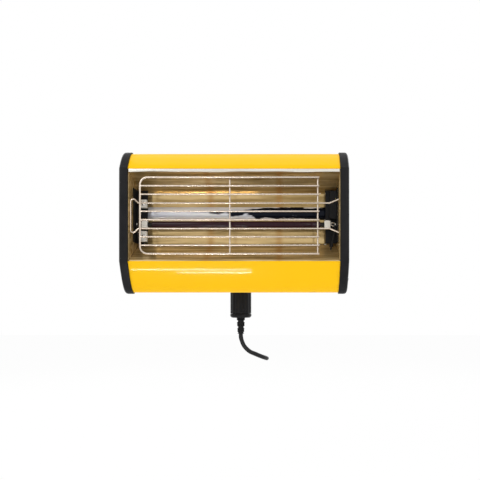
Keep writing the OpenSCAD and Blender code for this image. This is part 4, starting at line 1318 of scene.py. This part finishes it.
@dataclass
class Grille(Shell):
    """Wire grille: frame, bars, one long hooked wire, two stays and the weld beads."""

    left: float = -135.5
    right: float = 120.0
    top: float = 63.0
    low: float = -47.0
    bars: int = 8
    long_bars: tuple[int, int] = (3, 6)
    depth: float = 4.0
    frame_r: float = 1.5
    bar_r: float = 1.2
    bend: float = 11.0
    centre: float = -7.0
    over: float = 2.0
    jog: float = 5.5
    jog_in: float = 14.0
    hook_in: float = 7.0
    tip_in: float = 0.6
    hook_bend: float = 2.6
    weld_r: float = 1.45
    weld_in: float = 0.8

    @property
    def long_y(self) -> float:
        """Depth of the long wire, behind the frame."""
        return self.depth + self.frame_r + self.bar_r + FIT

    def height(self, k: int) -> float:
        """Returns the height of a bar, counted from the top wire."""
        return self.top - k * (self.top - self.low) / (self.bars + 1)

    def build(self) -> None:
        """Makes the wires and the beads that join them."""
        self.frame_wire()
        self.short_bars()
        self.long_wire()
        self.stays()
        self.welds()

    def frame_wire(self) -> None:
        """Bends the frame wire round the left end."""
        x = self.right + self.over
        path = [at(x, self.depth, self.top), at(self.left, self.depth, self.top),
                at(self.left, self.depth, self.low), at(x, self.depth, self.low)]
        Part("grille_frame_wire", NICKEL, ("grille_frame",)).wires([path], self.frame_r,
                                                                   self.bend)

    def short_bars(self) -> None:
        """Lays the bars between the frame wire and the right stay."""
        ends = self.left, self.right + self.over
        paths = [[at(x, self.depth, self.height(k)) for x in ends]
                 for k in range(1, self.bars + 1) if k not in self.long_bars]
        Part("grille_bar_wires", NICKEL, ("grille_bars",)).wires(paths, self.bar_r)

    def long_wire(self) -> None:
        """Bends the long wire that hooks into both ends of the head."""
        up, down = (self.height(k) for k in self.long_bars)
        end, jog, hook = (self.end_x - x for x in (self.tip_in, self.jog_in, self.hook_in))
        near, back = self.left - 2 * self.frame_r, -self.end_x + self.bar_r + FIT
        half = [(end, self.jog), (jog, 0), (near, 0), (-hook, self.jog), (back, self.jog)]
        spots = [*((x, up + z) for x, z in half), *((x, down - z) for x, z in reversed(half))]
        path = [at(x, self.long_y, z) for x, z in spots]
        Part("grille_long_wire", NICKEL, ("grille_long_bars",)).wires([path], self.bar_r,
                                                                      self.hook_bend)

    def stays(self) -> None:
        """Stands the two stays behind the bars."""
        y = self.long_y + 2 * self.bar_r + FIT
        paths = []
        for x in (self.centre, self.right):
            paths.append([at(x, y, z) for z in (self.low, self.top)])
            paths += [[at(x, self.depth, z), at(x, y, z)] for z in (self.low, self.top)]
        Part("grille_stay_wires", NICKEL, ("grille_stays",)).wires(paths, self.bar_r)

    def welds(self) -> None:
        """Sets a weld bead where wires cross."""
        points = []
        for k in range(self.bars + 2):
            z = self.height(k)
            y = (self.long_y if k in self.long_bars else self.depth + self.bar_r) + self.bar_r
            points += [at(x, y, z) for x in (self.centre, self.right)]
            if 0 < k <= self.bars:
                points.append(at(self.left + self.frame_r, self.depth + self.weld_in, z))
        Part("grille_welds", NICKEL).beads(points, self.weld_r)


@dataclass
class Timer(Shell):
    """Timer on the lower face of the rear cover: plate, dial, knob, switch and screws."""

    x: float = -97.0
    s: float = 43.0
    w: float = 76.0
    h: float = 56.0
    t: float = 2.0
    corner: float = 3.0
    border: float = 1.2
    edge: float = 0.4
    border_edge: float = 0.15
    raised: float = 0.6
    turn: float = 300.0
    ticks: int = 11
    tick_r: float = 21.0
    tick: Spot = (2.4, 0.7, 0.24)
    tick_less: float = 0.4
    number_r: float = 24.8
    number_size: float = 3.51
    number_t: float = 0.05
    knob_d: float = 38.0
    skirt: float = 4.0
    knob_h: float = 15.0
    knob_sides: int = 240
    notches: int = 40
    notch: float = 0.35
    bar_w: float = 9.0
    bar_in: float = 1.5
    gap: float = 0.6
    pointer_w: float = 1.3
    pointer_in: float = 5.0
    pointer_from: float = 1.5
    screw: Flat = (34.0, 24.0)

    def build(self) -> None:
        """Makes every piece of the timer."""
        self.face()
        self.marks()
        self.numbers()
        x, y = self.screw
        places = [self.place @ Matrix.Translation((a, b, self.t)) for a in (-x, x)
                  for b in (-y, y)]
        Part("timer_screw_heads", ZINC, ("timer_screws",)).screws(places, SMALL_HEAD)
        self.knob()
        self.pointer()
        dress("timer_shaft", SPRING)
        dress("timer_switch", SWITCH)

    @functools.cached_property
    def place(self) -> Matrix:
        """Work plane on the rear cover's lower face."""
        return self.on_cover(self.x, self.s, upper=False)

    def angle(self, i: int) -> float:
        """Returns where a mark stands on the dial, in radians; mark 0 is off."""
        return math.radians(90 + self.turn / 2 - i * self.turn / (self.ticks - 1))

    def dial(self, i: int, r: float, z: float) -> Matrix:
        """Returns the place of a mark's print, at a radius and a height."""
        w = self.angle(i)
        return self.place @ Matrix.Translation((r * math.cos(w), r * math.sin(w), z))

    def face(self) -> None:
        """Makes the plate with a raised border."""
        top = self.t + self.raised
        step = self.border_edge
        levels = [*eased(top, self.edge), (self.border - step, top),
                  (self.border, top - step), (self.border, self.t)]
        shape = plate(oblong(self.w, self.h, self.corner), levels, self.place)
        Part("timer_face_plate", DIAL, ("timer_plate",)).solid(shape)

    def marks(self) -> None:
        """Sets the printed marks round the dial, each second one shorter."""
        r = Recipe("dial marks")
        odd = r.math("MODULO", r.out("InputIndex"), 2.0)
        share = r.math("ADD", r.math("MULTIPLY", odd, -self.tick_less), 1.0)
        block = r.box(*(r.size(f"Mark {side}") for side in ("length", "width", "height")))
        up = tuple(self.place.to_3x3().col[2].normalized())
        first = r.out("FunctionNodeAlignRotationToVector", {"Vector": up}, axis="Z")
        aim = r.out("FunctionNodeAlignRotationToVector",
                    {"Rotation": first, "Vector": r.facing()}, axis="X", pivot_axis="Z")
        r.end(r.on_points(r.start, block, Rotation=aim, Scale=r.xyz(share, 1.0, 1.0)))
        places = [self.dial(i, self.tick_r, self.t) @ Matrix.Rotation(self.angle(i), 4, "Z")
                  @ Matrix.Rotation(math.pi / 2, 4, "Y") for i in range(self.ticks)]
        long, wide, high = (size * MM for size in self.tick)
        Part("dial_marks_print", PRINT, ("timer_marks",)).grown(
            r, point_mesh("marks", places), Mark_length=long, Mark_width=wide,
            Mark_height=high)

    def numbers(self) -> None:
        """Prints plain numbers at each second mark."""
        shapes = []
        for i in range(0, self.ticks, 2):
            curve = bpy.data.curves.new("number", "FONT")
            curve.body = str(i)
            curve.size = self.number_size
            curve.extrude = self.number_t
            curve.align_x, curve.align_y = "CENTER", "CENTER"
            text = linked("number", curve)
            mesh = evaluated(text)
            place = self.dial(i, self.number_r, self.t + self.number_t)
            shapes.append(([place @ v.co for v in mesh.vertices],
                           [tuple(face.vertices) for face in mesh.polygons]))
            bpy.data.objects.remove(text)
        Part("dial_numbers", PRINT).solid(joined(*shapes))

    def knob(self) -> None:
        """Makes the knob: a skirt with notches and a bar to turn it by."""
        r, z0, high = self.knob_d / 2, self.t + self.gap, self.skirt
        levels = [(-r, 0.0), (-0.4, 0.0), (0.0, 0.4), (0.0, high - 1.4), (-0.5, high - 0.5),
                  (-1.6, high), (-r + 12, high + 0.4), (-r, high + 0.4)]
        rings = []
        for out, h in levels:
            deep = self.notch if 0 < h < high else 0.0
            ring = []
            for k in range(self.knob_sides):
                w = math.tau * k / self.knob_sides
                reach = r + out - deep * max(0.0, math.cos(self.notches * w))
                ring.append(self.place @ Vector((reach * math.cos(w), reach * math.sin(w),
                                                 z0 + h)))
            rings.append(ring)
        shape = joined(loft(rings, caps=False), self.bar(z0))
        Part("timer_knob_moulding", KNOB, ("timer_knob",), "timer").solid(shape)

    def bar(self, z0: float) -> Shape:
        """Returns the bar across the knob, drawn in towards its top."""
        long, wide, top = self.knob_d - 2 * self.bar_in, self.bar_w, self.knob_h
        levels = [(0.0, self.skirt - 1), (0.2, self.skirt + 3), (0.7, top - 2),
                  (1.1, top - 0.8), (1.9, top - 0.15), (2.8, top)]
        place = self.place @ Matrix.Rotation(self.angle(0), 4, "Z")
        return plate(oblong(long, wide, wide * 0.4, steps=8),
                     [(inset, z0 + h) for inset, h in levels], place)

    def pointer(self) -> None:
        """Lets the white line into the top of the knob's bar."""
        reach, half = self.knob_d / 2 - self.pointer_in, 0.5
        spot = (reach / 2 + self.pointer_from, 0, self.t + self.gap + self.knob_h - half)
        place = (self.place @ Matrix.Rotation(self.angle(0), 4, "Z")
                 @ Matrix.Translation(spot))
        shape = plate(oblong(reach, self.pointer_w, 0.6), [(0.0, 0.0), (0.0, 0.55),
                                                           (0.1, 0.62)], place)
        Part("knob_pointer", PRINT, body="timer").solid(shape)


@dataclass
class Handle(Shell):
    """Handle: bracket plate, socket, bent tube, guard disc, grip and strain relief."""

    s: float = 56.0
    w: float = 84.0
    h: float = 48.0
    t: float = 3.0
    corner: float = 3.0
    edge: float = 0.5
    screw: Flat = (34.0, 18.0)
    socket_h: float = 16.0
    socket_d: float = 34.0
    socket_r: float = 0.9
    foot: Spot = (3.8, 1.2, 3.4)
    floor: float = 2.0
    clamp: float = 9.0
    clamp_in: float = 0.1
    tube_d: float = 24.0
    tube_out: float = 1.0
    leg_steps: int = 6
    bend_steps: int = 40
    disc_d: float = 82.0
    disc_t: float = 4.0
    disc_z: float = -25.0
    disc_edge: float = 2.6
    hub: Flat = (3.5, 4.5)
    dish: float = 0.5
    rim_in: float = 4.0
    rim_turn: float = 118.0
    rim_steps: int = 20
    grip_d: float = 35.0
    grip_len: float = 107.0
    grip_edge: float = 1.4
    grip_rings: int = 260
    flutes: int = 12
    flute: float = 0.9
    flute_sides: int = 10
    rib_h: float = 0.14
    rib_pitch: float = 1.9
    end_len: float = 6.5
    end_slope: float = 2.4
    end_edge: float = 0.5
    end_r: float = 1.6
    relief_len: float = 26.5
    relief_bore: float = 7.0
    ribs: int = 5
    rib_r: float = 5.7
    rib_t: float = 1.15
    rib_taper: float = 0.045
    rib_start: float = 0.3
    bridge: Flat = (4.0, 12.6)
    collar: float = 2.0
    collar_r: float = 6.9

    def build(self) -> None:
        """Makes every piece of the handle but the strain relief."""
        self.bracket()
        self.socket()
        shape = swept(self.line(), self.tube_d / 2, 48)
        Part("handle_tube_steel", STEEL_BLACK, ("handle_tube",)).solid(shape, ROUND_SHARP)
        dress("handle_cable", SLEEVE)
        self.disc()
        self.grip()
        self.grip_end()
        self.screws()

    @functools.cached_property
    def place(self) -> Matrix:
        """Work plane on the rear cover's upper face."""
        return self.on_cover(0, self.s, upper=True)

    @property
    def grip_top(self) -> float:
        """Height of the grip's upper end."""
        return self.disc_z - self.disc_t

    @property
    def grip_low(self) -> float:
        """Height of the grip's lower end."""
        return self.grip_top - self.grip_len

    def bracket(self) -> None:
        """Makes the plate that is screwed to the rear cover."""
        outline = oblong(self.w, self.h, self.corner)
        shape = plate(outline, eased(self.t, self.edge), self.place)
        Part("handle_bracket_plate", STEEL_BLACK, ("handle_plate",)).solid(shape)

    def socket(self) -> None:
        """Turns the socket that holds the tube, with a weld fillet at its foot."""
        wide, low, high = self.foot
        r, bore = self.socket_d / 2, self.tube_d / 2 + FIT
        profile = filleted([(bore, self.floor), (r + wide, 0.0), (r + wide, low), (r, high),
                            (r, self.socket_h), (bore, self.socket_h)], self.socket_r, 4)
        seat = self.place @ Matrix.Translation((0, 0, self.t))
        shape = turned(profile, seat, 72, loop=True)
        Part("handle_socket_steel", STEEL_BLACK, ("handle_socket",)).solid(shape)

    def line(self) -> list[Vector]:
        """Returns the tube's middle line, from inside the grip up to the socket's floor."""
        leg = self.t + self.socket_h + self.tube_out
        lean, rise = math.sin(self.slope), math.cos(self.slope)
        foot_y = self.ridge_y - self.s * lean + leg * rise
        foot_z = self.s * rise + leg * lean
        bend = (GRIP_Y - foot_y) / (1 + lean)
        centre = foot_z - bend * rise
        low = self.grip_low + self.tube_d / 2
        points = [at(0, GRIP_Y, low + (centre - low) * i / self.leg_steps)
                  for i in range(self.leg_steps)]
        for i in range(self.bend_steps + 1):
            w = (math.pi / 2 + self.slope) * i / self.bend_steps
            points.append(at(0, GRIP_Y - bend + bend * math.cos(w),
                             centre + bend * math.sin(w)))
        down = leg - self.t - self.floor
        return [*points, at(0, foot_y - down * rise, foot_z - down * lean)]

    def disc(self) -> None:
        """Turns the guard disc with its round rim."""
        bore, rim = self.tube_d / 2 + FIT, self.disc_d / 2 - self.disc_edge
        hub, web = (bore + wide for wide in self.hub)
        low, high, edge = self.grip_top, self.disc_z, rim - self.rim_in
        arc = []
        for i in range(self.rim_steps + 1):
            w = math.radians(self.rim_turn * (1 - 2 * i / self.rim_steps))
            arc.append((rim + self.disc_edge * math.cos(w),
                        high - self.disc_edge + self.disc_edge * math.sin(w)))
        profile = [(bore, low), (bore, high), (hub, high), (web, high - self.dish),
                   (edge, high - self.dish), *arc, (edge, low + self.dish),
                   (web, low + self.dish), (hub, low)]
        shape = turned(profile, upright(0, GRIP_Y, 0), 96, loop=True)
        Part("guard_disc_moulding", DISC, ("guard_disc",)).solid(shape)

    def grip(self) -> None:
        """Grows the grip: lengthwise flutes with fine cross ribs between them."""
        sharpness, fading, inside = 6.0, 3.0, 0.4999
        r = Recipe("fluted grip")
        times, plus, less = (functools.partial(r.math, way)
                             for way in ("MULTIPLY", "ADD", "SUBTRACT"))
        radius, deep = r.size("Radius"), r.size("Flute depth")
        length, edge = r.size("Length"), r.size("Edge radius")
        rib, pitch = r.size("Rib height"), r.size("Rib pitch")
        grid = r.out("MeshGrid", {"Size X": 1.0, "Size Y": 1.0,
                                  "Vertices X": self.flutes * self.flute_sides + 1,
                                  "Vertices Y": self.grip_rings})
        x, y, _ = r.parts(r.out("InputPosition"))
        angle, height = times(x, math.tau), times(y, length)
        wave = r.math("ABSOLUTE", r.math("COSINE", times(angle, self.flutes / 2)))
        groove = r.math("POWER", wave, sharpness)
        ribs = r.math("SINE", times(r.math("DIVIDE", height, pitch), math.tau))
        cross = times(times(ribs, rib), r.math("POWER", less(1.0, groove), fading))
        past = less(r.math("ABSOLUTE", height), less(times(length, 0.5), edge))
        t = r.math("DIVIDE", r.math("MAXIMUM", past, 0.0), edge)
        fall = less(1.0, r.math("SQRT", less(1.0, times(t, t))))
        body = plus(less(radius, times(groove, deep)), less(cross, rib))
        reach = times(less(body, times(fall, edge)),
                      r.math("LESS_THAN", r.math("ABSOLUTE", y), inside))
        place = r.xyz(times(reach, r.math("COSINE", angle)),
                      times(reach, r.math("SINE", angle)), height)
        shaped = r.out("SetPosition", {"Geometry": grid, "Position": place})
        whole = r.out("MergeByDistance", {"Geometry": shaped, "Distance": WELD})
        r.end(r.moved(whole, Translation=at(0, GRIP_Y, GRIP_MID)))
        Part("grip_sleeve", GRIP, ("grip",)).grown(
            r, bpy.data.meshes.new("grip"), ROUND_SHARP, Radius=self.grip_d / 2 * MM,
            Flute_depth=self.flute * MM, Length=self.grip_len * MM,
            Edge_radius=self.grip_edge * MM, Rib_height=self.rib_h * MM,
            Rib_pitch=self.rib_pitch * MM)

    def grip_end(self) -> None:
        """Turns the end cap of the grip."""
        r, bore, slope = self.grip_d / 2, self.relief_bore + FIT, self.end_slope
        low, high = self.grip_low - self.end_len, self.grip_low
        profile = filleted([(bore, low), (r - slope, low), (r, low + slope),
                            (r, high - self.end_edge), (r - self.end_edge, high),
                            (bore, high)], self.end_r)
        shape = turned(profile, upright(0, GRIP_Y, 0), 96, loop=True)
        Part("grip_end_cap", GRIP, ("grip_end",)).solid(shape)

    def relief(self) -> Piece:
        """Grows the strain relief: a tapered core with round ribs and bridges."""
        pitch = (self.relief_len - self.collar) / self.ribs
        low = self.grip_low - self.end_len
        foot, shoulder, top = low - self.relief_len, low - self.collar, low + self.end_len
        core = turned([
            (0, top - self.collar), (self.collar_r, top - self.collar),
            (self.collar_r, shoulder), (5.2, shoulder - 0.6), (4.3, foot + 1.2),
            (5.4, foot + 0.9), (5.5, foot + 0.3), (5.2, foot), (0, foot),
        ], upright(0, GRIP_Y, 0))
        r = Recipe("ribbed sleeve")
        radius, taper, thick = (r.size(name) for name in ("Rib radius", "Taper",
                                                          "Rib thickness"))
        points = r.out("MeshLine", {
            "Count": self.ribs, "Offset": Vector((0, 0, -pitch * MM)),
            "Start Location": at(0, GRIP_Y, shoulder - pitch * self.rib_start)})
        index = r.out("InputIndex")
        size = r.math("SUBTRACT", 1.0, r.math("MULTIPLY", index, taper))
        scale = r.xyz(size, size, 1.0)
        circle = r.out("CurvePrimitiveCircle", {"Resolution": 40, "Radius": radius})
        ring = r.round_wire(circle, thick, 12)
        wide, long = (size * MM for size in self.bridge)
        bridge = r.moved(r.box(wide, long, pitch * MM),
                         Translation=(0, 0, -pitch / 2 * MM))
        spin = r.xyz(z=r.math("MULTIPLY", index, math.pi / 2))
        r.end(r.join(r.on_points(points, ring, Scale=scale),
                     r.on_points(points, bridge, Scale=scale, Rotation=spin), r.start))
        return Part("strain_relief_sleeve", GRIP, ("strain_relief",)).grown(
            r, mesh_of("relief core", core), Rib_radius=self.rib_r * MM,
            Taper=self.rib_taper, Rib_thickness=self.rib_t * MM)

    def screws(self) -> None:
        """Sets the screws of the bracket and of the socket."""
        x, y = self.screw
        places = [self.place @ Matrix.Translation((a, b, self.t)) for a in (-x, x)
                  for b in (-y, y)]
        Part("bracket_screw_heads", ZINC, ("bracket_screws",)).screws(places, BIG_HEAD)
        face = self.socket_d / 2 - self.clamp_in
        places = [self.place @ Matrix.Translation((side * face, 0, self.t + self.clamp))
                  @ Matrix.Rotation(side * math.pi / 2, 4, "Y") for side in SIDES]
        Part("socket_screw_heads", ZINC, ("socket_screws",)).screws(places, BIG_HEAD)


LEAD = [
    (0, 130, -169), (0, 130, -175), (2, 130, -182), (5, 131, -189), (10, 132, -195),
    (16, 134, -200), (24, 137, -203.5), (32, 142, -207.5), (39, 151, -211), (42, 163, -213.5),
    (41, 175, -214.5), (35, 186, -214), (25, 193, -211), (14, 196, -206.5), (5, 197, -200.5),
    (-1, 197, -192), (-4, 196.5, -182), (-5, 196, -171), (-5, 195, -158), (-5, 193.5, -143),
    (-5, 192, -127), (-5, 191, -110), (-5, 190.5, -93), (-5, 190.5, -77), (-6, 190.5, -63),
    (-7, 190.5, -51), (-8, 189.5, -42.5), (-10, 187, -35), (-13, 183.5, -29), (-17, 178.5, -24),
    (-21, 173, -21),
]
TAIL = [
    (46, 137, 4.5), (43.5, 146, 7.5), (38, 154, 10.5), (31, 160, 13), (25, 162, 14.1),
    (18, 162, 14.1),
]


@dataclass
class MainsLead:
    """Mains lead: from the strain relief up to the coil on the disc, and on to its plug."""

    d: float = 7.0
    coil_start: float = 134.0
    coil_turns: float = 6.572
    layers: int = 4
    outer_r: float = 43.0
    step: float = 7.5
    low_z: float = -20.2
    rings: int = 24
    climb: float = 0.5
    length: float = 1.926
    tie_angle: float = 240.0
    tie_w: float = 10.0
    tie_t: float = 1.0
    tie_r: float = 2.0
    tie_edge: float = 0.25
    gap: float = 0.3
    plug_place: Spot = (6.0, 162.0, 14.1)
    plug_size: Spot = (38.0, 34.0, 16.0)
    plug_r: float = 2.0
    plug_round: float = 0.49
    plug_steps: int = 39
    ribbed: Flat = (6.0, 26.0)
    rib_deep: float = 0.5
    rib_pitch: float = 4.0
    boot_len: float = 12.0
    boot_wall: float = 0.9
    boot_in: float = 1.0
    boot_over: float = 0.5
    boot_pitch: float = 3.0
    boot_steps: int = 24
    pin_len: float = 19.0
    pin_d: float = 4.8
    pin_gap: float = 18.6

    def build(self, relief: Piece) -> None:
        """Args:
            relief: The strain relief that it leaves the grip through; not used.
        """
        path = self.route()
        nodes = ("cord_lead", "cord_coil", "cord_tail")
        lead = Part("mains_lead", CORD, nodes).solid(swept(path, self.d / 2), ROUND_SHARP)
        plug, pins, tie = self.plug(), self.pins(), self.tie()

    @property
    def per_layer(self) -> float:
        """Turns in one layer of the coil."""
        return self.coil_turns / self.layers

    def coil_point(self, u: float) -> Vector:
        """Returns a point of the coil after so many turns."""
        per_layer = self.per_layer
        k = min(int(u / per_layer), self.layers - 1) if u < self.coil_turns else self.layers
        f = u / per_layer - k
        r = self.outer_r - self.step * per_layer * (f if k % 2 == 0 else 1 - f)
        rise = 0.0
        for j in range(1, self.layers):
            t = min(max((u - j * per_layer) / self.climb + 0.5, 0.0), 1.0)
            rise += t * t * (3 - 2 * t)
        w = math.radians(self.coil_start) + math.tau * u
        return at(r * math.cos(w), GRIP_Y + r * math.sin(w), self.low_z + self.step * rise)

    def route(self) -> list[Vector]:
        """Returns the lead's whole middle line in metres."""
        count = int(self.coil_turns * self.rings)
        coil = [self.coil_point(self.coil_turns * i / count) for i in range(count + 1)]
        reach = self.d * MM
        coil.insert(0, coil[0] + (coil[0] - coil[1]).normalized() * reach)
        for _ in range(2):
            coil.append(coil[-1] + (coil[-1] - coil[-2]).normalized() * reach)
        return flowing([*(at(*p) for p in LEAD), *coil, *(at(*p) for p in TAIL)], 2)

    def plug(self) -> Piece:
        """Makes the flat moulded plug with grip ribs and a ribbed boot."""
        long, wide, thick = self.plug_size
        start, stop = self.ribbed
        axes = Matrix(((0, 0, -1), (0, 1, 0), (1, 0, 0)))
        place = Matrix.Translation(at(*self.plug_place)) @ (axes * MM).to_4x4()
        levels: list[Flat] = []
        for i in range(self.plug_steps + 1):
            h = long * i / self.plug_steps
            end = max(0.0, self.plug_r - min(h, long - h)) / self.plug_r
            inset = self.plug_r * (1 - math.sqrt(max(0.0, 1 - end * end)))
            if start < h < stop:
                wave = math.sin((h - start) * math.tau / self.rib_pitch)
                inset += self.rib_deep * max(0.0, wave)
            levels.append((inset, h))
        body = plate(oblong(thick, wide, thick * self.plug_round, 8), levels, place)
        small, big = self.d / 2 + self.boot_wall, thick / 2 - self.boot_in
        profile: list[Flat] = [(0, -self.boot_len)]
        for i in range(self.boot_steps + 1):
            share = i / self.boot_steps
            h = self.boot_len * (share - 1)
            wave = self.rib_deep * max(0.0, math.sin(h * math.tau / self.boot_pitch))
            profile.append((small + (big - small) * share - wave, h))
        boot = turned([*profile, (0, self.boot_over)], place, 48)
        return Part("plug_moulding", PLUG, ("plug_body",)).solid(joined(body, boot))

    def pins(self) -> Piece:
        """Turns the two plug pins with round tips."""
        x, y, z = self.plug_place
        r, tip = self.pin_d / 2, x - self.plug_size[0] - self.pin_len
        profile = [(0, 0), (r * 0.5, 0.15), (r * 0.85, 0.7), (r, 1.8), (r, self.pin_len),
                   (0, self.pin_len)]
        shapes = [turned(profile, along_x(y + side * self.pin_gap / 2, z, tip), 32)
                  for side in SIDES]
        return Part("plug_pin_pair", PIN, ("plug_pins",)).solid(joined(*shapes))

    def tie(self) -> Piece:
        """Makes the closed strap round the coil."""
        reach, t = self.d / 2 + self.gap, self.tie_t
        inner = self.outer_r - self.step * self.per_layer - reach - t / 2
        outer = self.outer_r + reach + t / 2
        low = self.low_z - reach - t / 2
        high = self.low_z + (self.layers - 1) * self.step + reach + t / 2
        loop = [Vector(p) for p in filleted(
            [(inner, low), (outer, low), (outer, high), (inner, high)], self.tie_r, 6)]
        spin = Matrix.Rotation(math.radians(self.tie_angle), 4, "Z")
        place = upright(0, GRIP_Y, 0) @ spin
        rings = []
        for i, p in enumerate(loop):
            way = (loop[(i + 1) % len(loop)] - loop[i - 1]).normalized()
            out = Vector((way.y, -way.x)) * (t / 2)
            rings.append([place @ Vector((q.x, side * self.tie_w / 2, q.y)) for side, q in (
                (-1, p - out), (-1, p + out), (1, p + out), (1, p - out))])
        piece = Part("cord_strap", TIE, ("cord_tie",)).solid(loft(rings, loop=True))
        return rounded_edges(piece, self.tie_edge)


def main() -> None:
    """Builds the studio, the lead and every sub-assembly of the dryer."""
    logging.basicConfig(level=logging.INFO, format="%(name)s: %(message)s")
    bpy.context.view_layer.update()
    Studio().build()
    handle = Handle()
    MainsLead().build(handle.relief())
    for assembly in (handle, Housing(), Reflector(), InfraredLamp(), Grille(), Timer()):
        assembly.build()


if __name__ == "__main__":
    main()
